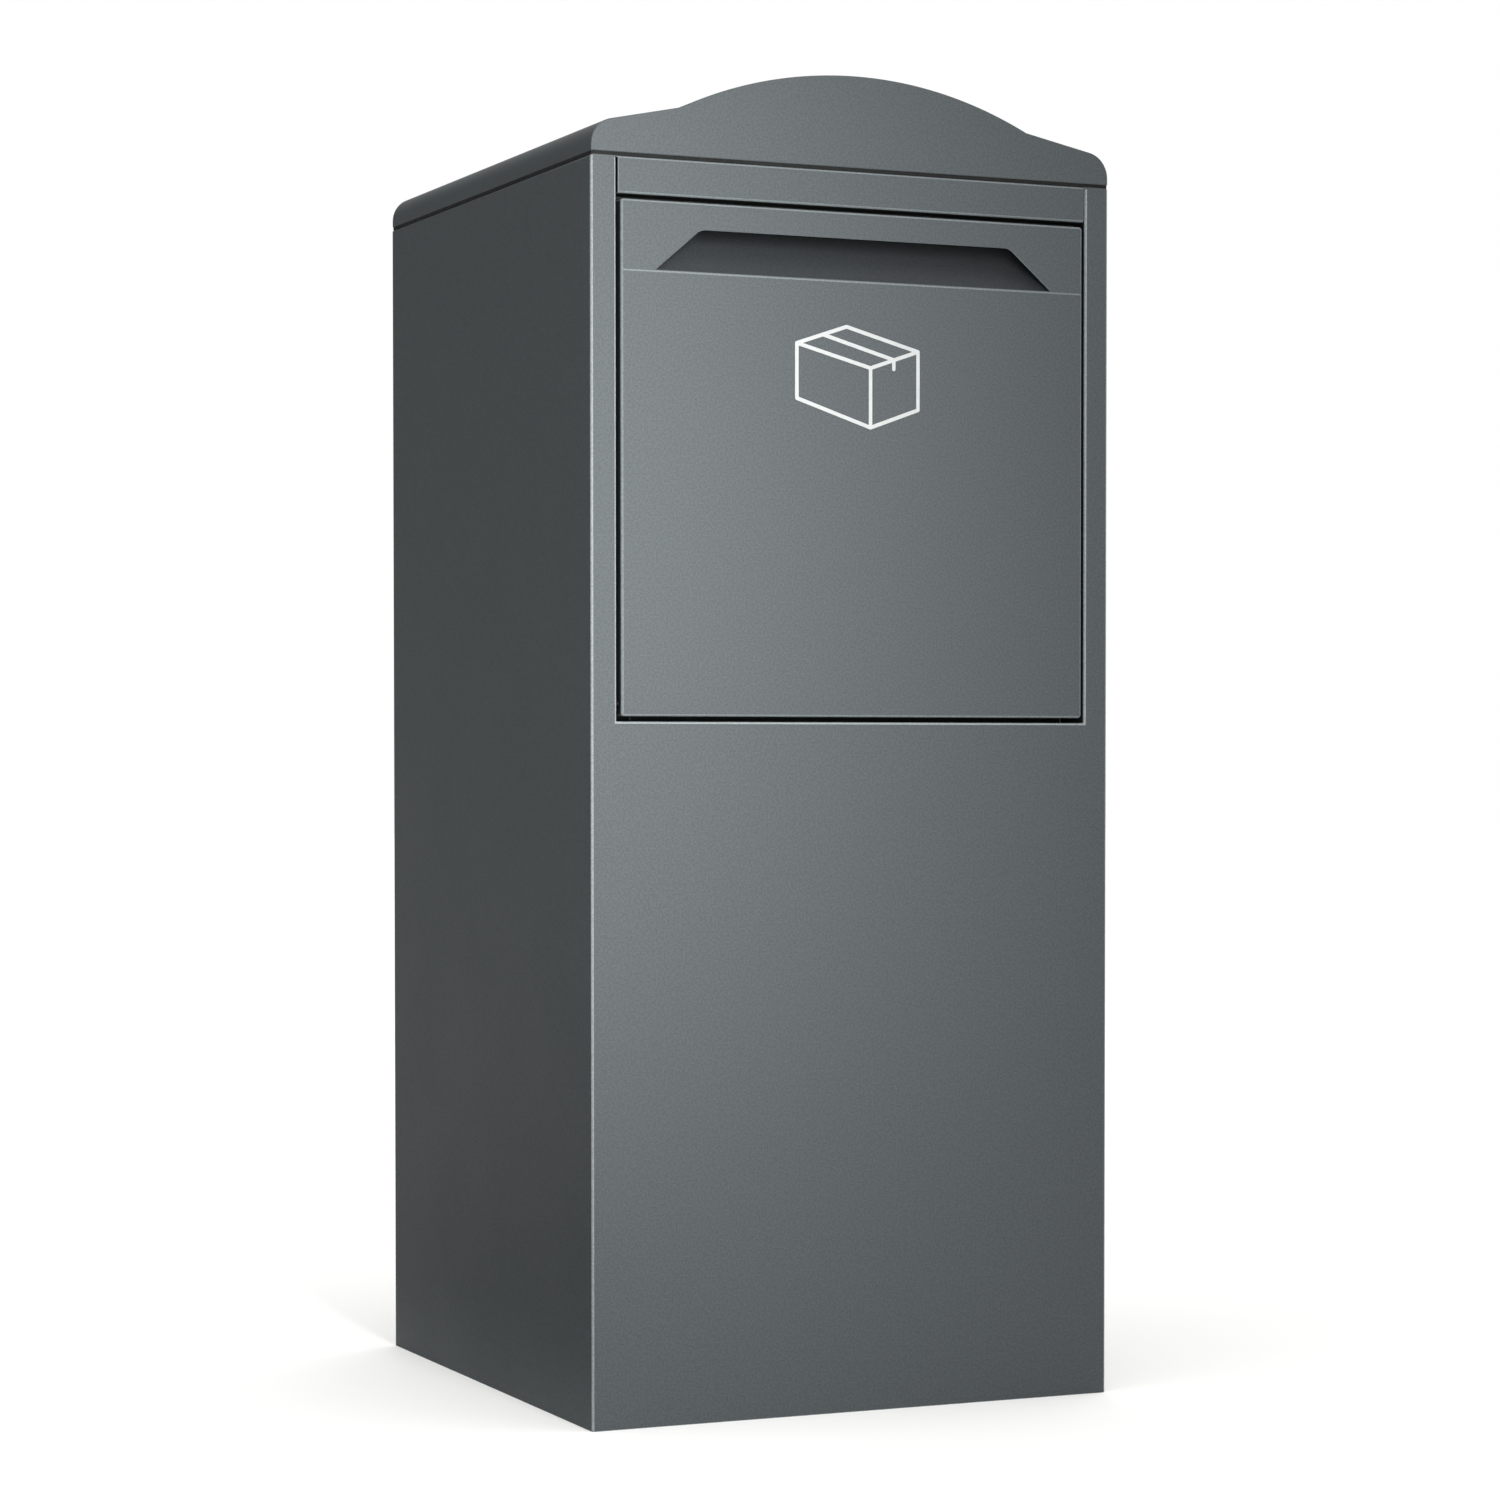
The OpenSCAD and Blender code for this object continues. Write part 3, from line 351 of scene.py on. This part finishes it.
# %% Modelling helpers
STRAIGHT = 0.9
# The slots hold the outer coat, the painted highlight on folds, the inner coat that is partly
# painted shade, and the painted shade in gaps.
OUTSIDE, ON_FOLDS, INSIDE, IN_GAPS = range(4)


def fresh(name, primitive, **settings):
    """Adds a primitive with nothing else selected."""
    bpy.ops.object.select_all(action="DESELECT")
    primitive(**settings)
    piece = bpy.context.active_object
    piece.name = name
    piece.data.name = name
    return piece


def settle():
    """Puts the place, turn and size of the selected object into its mesh."""
    bpy.ops.object.transform_apply(location=True, rotation=True, scale=True)


def wear_coats(piece):
    """Gives the piece its four materials, in the order of the names above: the coat, the painted
    highlight on folds, the inner coat that is partly painted shade, and the painted shade in gaps.
    """
    for coat in (outer_coat, fold_painted_highlight, inner_coat, painted_gap_shade):
        piece.data.materials.append(coat)


def block(name, low, high):
    """A cube stretched between two corners, in edit mode, with its coats."""
    low, high = Vector(low), Vector(high)
    piece = fresh(name, bpy.ops.mesh.primitive_cube_add, size=1, location=(low + high) / 2,
                  scale=high - low)
    settle()
    wear_coats(piece)
    bpy.ops.object.mode_set(mode="EDIT")
    return piece


def pick(kind, wanted):
    """Selects what wanted(middle, way) allows. The way is an edge's run or a face's normal."""
    bpy.ops.mesh.select_all(action="DESELECT")
    bpy.ops.mesh.select_mode(type=kind)
    data = bpy.context.edit_object.data
    mesh = bmesh.from_edit_mesh(data)
    mesh.normal_update()
    if kind == "FACE":
        found = [face for face in mesh.faces if wanted(face.calc_center_median(), face.normal)]
    elif kind == "EDGE":
        found = [edge for edge in mesh.edges
                 if wanted((edge.verts[0].co + edge.verts[1].co) / 2,
                           (edge.verts[1].co - edge.verts[0].co).normalized())]
    else:
        found = [vertex for vertex in mesh.verts if wanted(vertex.co, vertex.normal)]
    for part in found:
        part.select_set(True)
    mesh.select_flush_mode()
    bmesh.update_edit_mesh(data)
    return len(found)


def near(a, b):
    return abs(a - b) < 0.05 * MM


def cut(place, way):
    """Cuts what is selected along a plane."""
    bpy.ops.mesh.bisect(plane_co=place, plane_no=way)


def pull(move):
    """Extrudes what is selected and moves the new part."""
    bpy.ops.mesh.extrude_region_move(TRANSFORM_OT_translate={"value": move})


def modify(piece, kind, **settings):
    """Adds a modifier and applies it."""
    modifier = piece.modifiers.new(kind.lower(), kind)
    for name, value in settings.items():
        setattr(modifier, name, value)
    bpy.ops.object.modifier_apply(modifier=modifier.name)


def give(piece, body, slot, *nodes):
    """Rides the finished piece on its body, in the place of its CAD nodes."""
    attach(piece, body)
    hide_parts(*nodes)
    print(piece.name, "has", len(piece.data.polygons), "faces")


SHEET_MM = 1.5
FOLD_MM = 2.5
RIM_MM = 0.45
PALE_FROM = math.cos(math.radians(20))


def thicken(piece):
    """Gives the bare surface the thickness of the sheet."""
    bpy.ops.object.mode_set(mode="OBJECT")
    modify(piece, "SOLIDIFY", thickness=SHEET_MM * MM, offset=-1, use_even_offset=True)


def smooth(piece, coat_of=lambda middle, way: OUTSIDE):
    """Softens the cut rims of the sheet with the painted highlight of the folds, and keeps the large
    faces flat to the eye.

    Only the middle of each fold wears the painted highlight: where it runs out into a flat face it
    is coated fully.
    Flat faces wear what coat_of(middle, normal) says.
    """
    modify(piece, "BEVEL", width=RIM_MM * MM, segments=2, limit_method="ANGLE",
           angle_limit=math.radians(65), material=ON_FOLDS)
    for face in piece.data.polygons:
        if max(abs(part) for part in face.normal) > PALE_FROM:
            face.material_index = coat_of(face.center, face.normal)
    bpy.ops.object.shade_smooth_by_angle(angle=math.radians(40))
    modify(piece, "WEIGHTED_NORMAL", keep_sharp=True)


def fold(radius_mm=FOLD_MM, segments=5):
    """Rounds the selected edges as a press brake does, and gives them the painted highlight of the
    folds.
    """
    bpy.ops.mesh.bevel(offset=radius_mm * MM, segments=segments, profile=0.5,
                       material=ON_FOLDS, affect="EDGES")

# %% [markdown]
# ## Body shell
#
# One sheet is folded into the body: two sides, the lower front, a jamb on each side of the drop
# opening with a return that runs inwards, and a flange on each side at the rear. It is modelled
# the way it is made, as a bare surface that is cut and folded, and only then given its
# thickness: so every wall is 1.5 mm, and each fold is round outside and inside.

# %% Body shell: the surface
door_low, door_high = map(Vector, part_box("drop_door"))
header_low, header_high = map(Vector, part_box("header_strip"))
door_gap = 3.0 * MM
door_end_gap = 3.8 * MM
half_opening = door_high.x + door_gap
sill_z = door_low.z - door_end_gap
jamb_return = header_high.y - header_low.y
sill_return = 10 * MM
rear_flange_x = body_high.x - 25 * MM
top_flange = 22 * MM

shell = block("body_shell_sheet", body_low, body_high)
pick("FACE", lambda middle, way: abs(way.z) > STRAIGHT)
bpy.ops.mesh.delete(type="FACE")
for side in (1, -1):
    pick("FACE", lambda middle, way: way.y > STRAIGHT)
    cut((side * rear_flange_x, 0, 0), (1, 0, 0))
pick("FACE", lambda middle, way: way.y > STRAIGHT and near(middle.x, 0))
bpy.ops.mesh.delete(type="FACE")
print("sides, front and rear flanges:", len(shell.data.vertices))

# %% Body shell: the drop opening and its folds
pick("FACE", lambda middle, way: way.y < -STRAIGHT)
cut((0, 0, sill_z), (0, 0, 1))
for side in (1, -1):
    pick("FACE", lambda middle, way: way.y < -STRAIGHT and middle.z > sill_z)
    cut((side * half_opening, 0, 0), (1, 0, 0))
pick("FACE", lambda middle, way: way.y < -STRAIGHT and middle.z > sill_z and near(middle.x, 0))
bpy.ops.mesh.delete(type="FACE")
pick("EDGE", lambda middle, way: near(abs(middle.x), half_opening) and abs(way.z) > STRAIGHT)
pull((0, jamb_return, 0))
pick("EDGE", lambda middle, way: near(middle.z, sill_z) and near(middle.x, 0)
     and near(middle.y, body_low.y))
pull((0, sill_return, 0))
for side in (-1, 1):
    pick("EDGE", lambda middle, way: near(middle.x, side * body_high.x) and abs(way.y) > STRAIGHT
         and near(middle.z, body_high.z))
    pull((-side * top_flange, 0, 0))
pick("EDGE", lambda middle, way: (abs(way.z) > STRAIGHT and near(abs(middle.x), body_high.x))
     or (abs(way.z) > STRAIGHT and near(abs(middle.x), half_opening) and near(middle.y, body_low.y))
     or (abs(way.x) > STRAIGHT and near(middle.z, sill_z) and near(middle.y, body_low.y)
         and near(middle.x, 0))
     or (abs(way.y) > STRAIGHT and near(middle.z, body_high.z) and near(abs(middle.x), body_high.x)))
fold()
thicken(shell)


def shell_coat(middle, way):
    """Painted shade on the returns round the drop opening, and the inner coat, partly painted shade,
    in the store.
    """
    slack = 0.5 * MM
    deep = body_low.y + FOLD_MM * MM < middle.y < body_low.y + jamb_return + 2 * slack
    on_return = abs(way.y) < 0.3 and middle.z > sill_z - 2 * FOLD_MM * MM and deep
    if on_return and abs(middle.x) < half_opening + slack:
        return IN_GAPS
    side = abs(middle.x) > body_high.x - slack
    front = middle.y < body_low.y + slack
    rear = middle.y > body_high.y - slack
    return OUTSIDE if side or front or rear else INSIDE


# The body's corners get the palest painted highlight, but not the folds that lie under the cap.
smooth(shell, shell_coat)
shell.data.materials[ON_FOLDS] = corner_painted_highlight
for face in shell.data.polygons:
    if face.normal.z > 0.3 and face.center.z > body_high.z - FOLD_MM * MM:
        face.material_index = OUTSIDE
give(shell, "cabinet", "powder_coat", "body_shell")

# %% [markdown]
# ## Roof cap
#
# The cap is a flat-shouldered arch: level shoulders with rounded corners, and a dome between
# them. Its gable is a drawing of straight lines and arcs, so half of it is drawn from the crown
# with `spin` and `extrude`, mirrored, filled and pulled back along the depth of the body. Then
# the underside is opened, the walls get their thickness inwards, and the gable edges are
# rounded. The cap's edges get no painted highlight, so they are coated as its faces are, and its
# underside gets the painted shade of the gaps.

# %% Roof cap: the outline
cap_low, cap_high = map(Vector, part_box("roof_cap"))
gable_edge_mm = 1.1
corner_r = 20 * MM
cap_side_h = 5.3 * MM
cap_flange = 22 * MM
same_place = 0.01 * MM
slope = math.radians(11.8)
dome_rise = 33.7 * MM
dome_x = 147 * MM
dome_r = (dome_x ** 2 + dome_rise ** 2) / (2 * dome_rise)
dome_centre = Vector((0, cap_low.y, cap_high.z - dome_r))
dome_half = math.asin(dome_x / dome_r)
corner_centre = Vector((cap_high.x - corner_r, cap_low.y, cap_low.z + cap_side_h))
shoulder_end = corner_centre + corner_r * Vector((math.sin(slope), 0, math.cos(slope)))
dome_foot = dome_centre + dome_r * Vector((math.sin(dome_half), 0, math.cos(dome_half)))


def select_tip(place):
    """Selects the one vertex at this place."""
    return pick("VERT", lambda middle, way: (middle - place).length < 0.1 * MM)


cap = fresh("roof_cap_sheet", bpy.ops.mesh.primitive_plane_add, size=1 * MM,
            location=(0, cap_low.y, cap_high.z))
settle()
wear_coats(cap)
bpy.ops.object.mode_set(mode="EDIT")
bpy.ops.mesh.select_mode(type="VERT")
bpy.ops.mesh.select_all(action="SELECT")
bpy.ops.mesh.merge(type="CENTER")
bpy.ops.mesh.spin(steps=24, angle=-dome_half, center=dome_centre, axis=(0, 1, 0))
print("dome foot found:", select_tip(dome_foot))
pull(shoulder_end - dome_foot)
bpy.ops.mesh.spin(steps=10, angle=slope - math.pi / 2, center=corner_centre, axis=(0, 1, 0))
corner_end = corner_centre + Vector((corner_r, 0, 0))
print("corner end found:", select_tip(corner_end))
pull((0, 0, -cap_side_h))
pull((-cap_high.x, 0, 0))

# %% Roof cap: the body
bpy.ops.object.mode_set(mode="OBJECT")
modify(cap, "MIRROR", use_axis=(True, False, False), merge_threshold=same_place)
bpy.ops.object.mode_set(mode="EDIT")
bpy.ops.mesh.select_all(action="SELECT")
bpy.ops.mesh.remove_doubles(threshold=same_place)
bpy.ops.mesh.edge_face_add()
pull((0, cap_high.y - cap_low.y, 0))
bpy.ops.mesh.select_all(action="SELECT")
bpy.ops.mesh.normals_make_consistent(inside=False)
pick("FACE", lambda middle, way: way.z < -STRAIGHT and near(middle.z, cap_low.z))
bpy.ops.mesh.inset(thickness=cap_flange)
bpy.ops.mesh.delete(type="FACE")
thicken(cap)
bpy.ops.object.mode_set(mode="EDIT")
pick("EDGE", lambda middle, way: near(middle.y, cap_low.y) or near(middle.y, cap_high.y))
fold(radius_mm=gable_edge_mm, segments=4)
bpy.ops.object.mode_set(mode="OBJECT")
# The cap's underside gets the painted shade of the gaps, and its folds get no painted highlight.
smooth(cap, lambda middle, way: IN_GAPS if way.z < -STRAIGHT else OUTSIDE)
cap.data.materials[ON_FOLDS] = outer_coat
give(cap, "cabinet", "powder_coat", "roof_cap")

# %% [markdown]
# ## Header strip
#
# A short channel closes the front above the drop door. It is a block without its back, with its
# two long front edges folded, and the tab at each end is cut back so that it clears the screws.

# %% Header strip
tab_depth = 24 * MM
header = block("header_strip_sheet", header_low, header_high)
pick("FACE", lambda middle, way: way.y > STRAIGHT)
bpy.ops.mesh.delete(type="FACE")
pick("FACE", lambda middle, way: abs(way.x) > STRAIGHT)
cut((0, header_low.y + tab_depth, 0), (0, 1, 0))
pick("FACE", lambda middle, way: abs(way.x) > STRAIGHT and middle.y > header_low.y + tab_depth)
bpy.ops.mesh.delete(type="FACE")
pick("EDGE", lambda middle, way: abs(way.x) > STRAIGHT and near(middle.y, header_low.y))
fold()
thicken(header)
# The header's flanges behind its face get the painted shade of the gaps.
smooth(header, lambda middle, way: OUTSIDE if way.y < -STRAIGHT else IN_GAPS)
give(header, "cabinet", "powder_coat", "header_strip")

# %% [markdown]
# ## Drop door
#
# The drop door is a pan: a flat skin with all four rims folded back. A shallow crease runs
# right across it, level with the foot of the grip opening. The opening is a trapezoid with
# rounded upper corners. It is punched square through the finished sheet, with a cutter modelled
# as a block whose top is drawn in, and its slanted edges are then eased.

# %% Pan
def pan(name, low, high, open_way):
    """A folded pan that is open towards open_way along Y."""
    piece = block(name, low, high)
    open_y = high.y if open_way > 0 else low.y
    pick("FACE", lambda middle, way: way.y * open_way > STRAIGHT)
    bpy.ops.mesh.delete(type="FACE")
    pick("EDGE", lambda middle, way: not near(middle.y, open_y))
    fold()
    return piece


def punch(piece, cutter):
    """Cuts the shape of the cutter out of the piece, and removes the cutter."""
    bpy.ops.object.mode_set(mode="OBJECT")
    bpy.ops.object.select_all(action="DESELECT")
    bpy.context.view_layer.objects.active = piece
    piece.select_set(True)
    modify(piece, "BOOLEAN", operation="DIFFERENCE", object=cutter, solver="EXACT")
    bpy.data.objects.remove(cutter)

# %% Drop door
crease_z = door_high.z - 53.3 * MM
crease_half = 0.6 * MM
crease_depth = 0.35 * MM
grip_foot_z = crease_z + 1.1 * MM
grip_top_z = grip_foot_z + 31.8 * MM
grip_foot_x = 168 * MM
grip_top_x = 131 * MM
grip_corner_mm = 3.7
grip_rim_mm = 0.8
cutter_reach = 5 * MM


def on_grip_side(middle, way):
    """True for the slanted edges of the grip opening, on the face of the door."""
    climb = (middle.z - grip_foot_z) / (grip_top_z - grip_foot_z)
    on_line = abs(abs(middle.x) - grip_foot_x + climb * (grip_foot_x - grip_top_x)) < 1 * MM
    return near(middle.y, door_low.y) and 0 < climb < 1 and on_line and abs(way.z) > 0.3


door = pan("drop_door_pan", door_low, door_high, 1)
for step in (-1, 0, 1):
    pick("FACE", lambda middle, way: way.y < -STRAIGHT)
    cut((0, 0, crease_z + step * crease_half), (0, 0, 1))
pick("VERT", lambda middle, way: near(middle.z, crease_z) and middle.y < door_low.y + 0.2 * MM)
bpy.ops.transform.translate(value=(0, crease_depth, 0))
# The crease gets the painted highlight of the folds.
pick("FACE", lambda middle, way: way.y < -0.8 and abs(middle.z - crease_z) < crease_half)
door.active_material_index = ON_FOLDS
bpy.ops.object.material_slot_assign()
thicken(door)

cutter = block("grip_cutter", (-grip_foot_x, door_low.y - cutter_reach, grip_foot_z),
               (grip_foot_x, door_low.y + cutter_reach, grip_top_z))
pick("FACE", lambda middle, way: way.z > STRAIGHT)
bpy.ops.transform.resize(value=(grip_top_x / grip_foot_x, 1, 1), center_override=(0, 0, 0))
pick("EDGE", lambda middle, way: abs(way.y) > STRAIGHT and near(middle.z, grip_top_z))
fold(radius_mm=grip_corner_mm, segments=10)
punch(door, cutter)
bpy.ops.object.mode_set(mode="EDIT")
# The eased slanted edges get the painted highlight of the folds.
print("slanted edges:", pick("EDGE", on_grip_side))
fold(radius_mm=grip_rim_mm, segments=3)
bpy.ops.object.mode_set(mode="OBJECT")
# The door's flanges and inside get the darker inner coat, which is partly painted shade.
smooth(door, lambda middle, way: OUTSIDE if way.y < -0.8 else INSIDE)
give(door, "hopper", "powder_coat", "drop_door")

# %% [markdown]
# ## Grip pocket
#
# Behind the opening lies a pocket for the fingers: a block whose front is open and whose floor
# climbs from the front edge to the back of the roof. It is seen from inside, so its walls
# grow outwards.

# %% Grip pocket
pocket_low, pocket_high = map(Vector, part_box("grip_pocket"))
wall = SHEET_MM * MM
pocket_foot_z = crease_z - 2.3 * MM
pocket_top_z = pocket_high.z - wall
pocket = block("grip_pocket_tray", (pocket_low.x + wall, pocket_low.y, pocket_foot_z),
               (pocket_high.x - wall, pocket_high.y, pocket_top_z))
pick("FACE", lambda middle, way: way.y < -STRAIGHT)
bpy.ops.mesh.delete(type="FACE")
pick("EDGE", lambda middle, way: near(middle.z, pocket_foot_z) and near(middle.y, pocket_high.y))
bpy.ops.transform.translate(value=(0, 0, pocket_top_z - pocket_foot_z - 2 * wall))
pick("EDGE", lambda middle, way: middle.y > pocket_low.y + 1 * MM)
fold(radius_mm=1.2, segments=3)
bpy.ops.object.mode_set(mode="OBJECT")
modify(pocket, "SOLIDIFY", thickness=wall, offset=1, use_even_offset=True)
# The pocket gets the darker inner coat, which is partly painted shade.
pocket.data.materials.clear()
pocket.data.materials.append(inner_coat)
bpy.ops.object.shade_smooth_by_angle(angle=math.radians(40))
give(pocket, "hopper", "inner_coat", "grip_pocket")

# %% [markdown]
# ## Back panel and rear door
#
# The back panel is one upright sheet. The opening for the collection door is cut by four planes
# that cross the panel, the middle is removed, and the edges of the hole are turned inwards. The
# collection door is a pan like the drop door, open towards the inside, with a round hole
# punched for the lock.

# %% Back panel
panel_low, panel_high = map(Vector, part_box("back_panel"))
rear_low, rear_high = map(Vector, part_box("rear_door"))
rear_gap = 2.5 * MM
past_door = 3 * MM
hole_x = rear_high.x + rear_gap
hole_low, hole_high = rear_low.z - rear_gap, rear_high.z + rear_gap
turned_in_y = rear_low.y - past_door

panel = block("back_panel_sheet", panel_low, panel_high)
pick("FACE", lambda middle, way: way.y < STRAIGHT)
bpy.ops.mesh.delete(type="FACE")
for place in ((hole_x, 0, 0), (-hole_x, 0, 0), (0, 0, hole_low), (0, 0, hole_high)):
    bpy.ops.mesh.select_all(action="SELECT")
    cut(place, (1, 0, 0) if place[0] else (0, 0, 1))
in_hole = (hole_low + hole_high) / 2
pick("FACE", lambda middle, way: near(middle.x, 0) and near(middle.z, in_hole))
bpy.ops.mesh.delete(type="FACE")


def round_hole(middle, way):
    """True for the four edges of the hole in the panel."""
    beside = near(abs(middle.x), hole_x) and near(middle.z, in_hole)
    return beside or (near(middle.x, 0) and (near(middle.z, hole_low) or near(middle.z, hole_high)))


pick("EDGE", round_hole)
pull((0, turned_in_y - panel_high.y, 0))
pick("EDGE", lambda middle, way: near(middle.z, panel_high.z))
pull((0, -top_flange, 0))
pick("EDGE", lambda middle, way: near(middle.y, panel_high.y) and round_hole(middle, way))
fold(radius_mm=1.6, segments=4)
thicken(panel)
smooth(panel)
give(panel, "cabinet", "powder_coat", "back_panel")

# %% Collection door
lock_low, lock_high = map(Vector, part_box("lock_nut"))
lock_middle = (lock_low + lock_high) / 2
lock_hole_r = 9.6 * MM
rear_door = pan("collection_door_pan", rear_low, rear_high, -1)
thicken(rear_door)
drill = fresh("lock_drill", bpy.ops.mesh.primitive_cylinder_add, vertices=64, radius=lock_hole_r,
              depth=20 * MM, location=(lock_middle.x, rear_high.y, lock_middle.z),
              rotation=(math.pi / 2, 0, 0))
punch(rear_door, drill)
smooth(rear_door)
give(rear_door, "collection_door", "powder_coat", "rear_door")

# %% [markdown]
# ## Closing springs
#
# Each torsion spring is a round wire wound round its hinge pin. One turn of wire is a small
# circle carried round the pin by the Screw modifier, and its ends are then pulled out straight
# into the two legs: one that rests on the sill, and one that pushes on the liner.

# %% Closing springs
pin_low, pin_high = map(Vector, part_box("hopper_hinge_pins"))
spring_low, spring_high = map(Vector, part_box("closing_springs"))
hinge = (pin_low + pin_high) / 2
wire_r = 1.0 * MM
coil_r = 5.7 * MM
wire_sides = 12
steps_per_turn = 24
turns = 8
pitch = 3.2 * MM
outer_x = spring_high.x - wire_r

springs = fresh("closing_springs_wound", bpy.ops.mesh.primitive_circle_add, vertices=wire_sides,
                radius=wire_r, location=(0, coil_r, 0))
settle()
modify(springs, "SCREW", axis="X", angle=2 * math.pi, screw_offset=-pitch, iterations=turns,
       steps=steps_per_turn, render_steps=steps_per_turn)
bpy.ops.transform.translate(value=(outer_x, hinge.y, hinge.z))
settle()
bpy.ops.object.mode_set(mode="EDIT")
inner_x = outer_x - turns * pitch


def end_ring(x):
    """Selects the ring of wire where the coil begins or ends."""
    return pick("VERT", lambda middle, way: near(middle.z, hinge.z) and middle.y > hinge.y
                and abs(middle.x - x) < 1.2 * wire_r)


print("start ring", end_ring(outer_x))
pull((0, 0, spring_low.z - hinge.z))
print("end ring", end_ring(inner_x))
pull((0, spring_high.y - wire_r - hinge.y - coil_r, spring_high.z - hinge.z))
bpy.ops.mesh.select_all(action="SELECT")
bpy.ops.mesh.fill_holes(sides=wire_sides)
bpy.ops.mesh.select_all(action="SELECT")
bpy.ops.mesh.normals_make_consistent(inside=False)
bpy.ops.object.mode_set(mode="OBJECT")
modify(springs, "MIRROR", use_axis=(True, False, False), use_mirror_merge=False)
springs.data.materials.append(wire_steel_and_painted_shade)
bpy.ops.object.shade_smooth_by_angle(angle=math.radians(50))
give(springs, "hopper", "spring_steel", "closing_springs")
print("springs:", [tuple(round(v, 4) for v in corner) for corner in springs.bound_box][::6])

# %% [markdown]
# ## Finishes for the CAD pieces
#
# The turned, punched and moulded pieces keep their CAD shape. Each gets the finish of the real
# one, but the hinge pins get the dark spring wire as painted shade, so that the gap round the drop
# door stays dark, and the inside pieces get the darker inner coat, which is partly painted shade.

# %% Give the CAD pieces their finishes
FINISHES = {
    inner_coat: ("base_plate", "door_stop_frame", "rear_deflector", "door_liner", "left_cheek",
                 "right_cheek", "chute_tray"),
    rubber: ("cap_gasket", "door_seal", "stop_buffers", "rear_door_pads"),
    rivet_steel: ("back_panel_rivets", "deflector_rivets", "hopper_rivets"),
    zinc: ("header_screws", "cap_screws", "cap_nuts", "hinge_brackets", "rear_hinge_pins",
           "rear_door_stops", "door_stiffeners", "rear_door_stiffener", "cam_screw"),
    wire_steel_and_painted_shade: ("hopper_hinge_pins",),
    bronze: ("hinge_bushes", "rear_hinge_bushes"),
    chrome: ("lock_housing", "lock_plug", "lock_cam", "lock_nut"),
    film: ("parcel_symbol",),
}
for finish, nodes in FINISHES.items():
    for node in nodes:
        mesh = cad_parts[node].data
        mesh.materials.clear()
        mesh.materials.append(finish)
    print(finish.name, "on", len(nodes), "pieces")
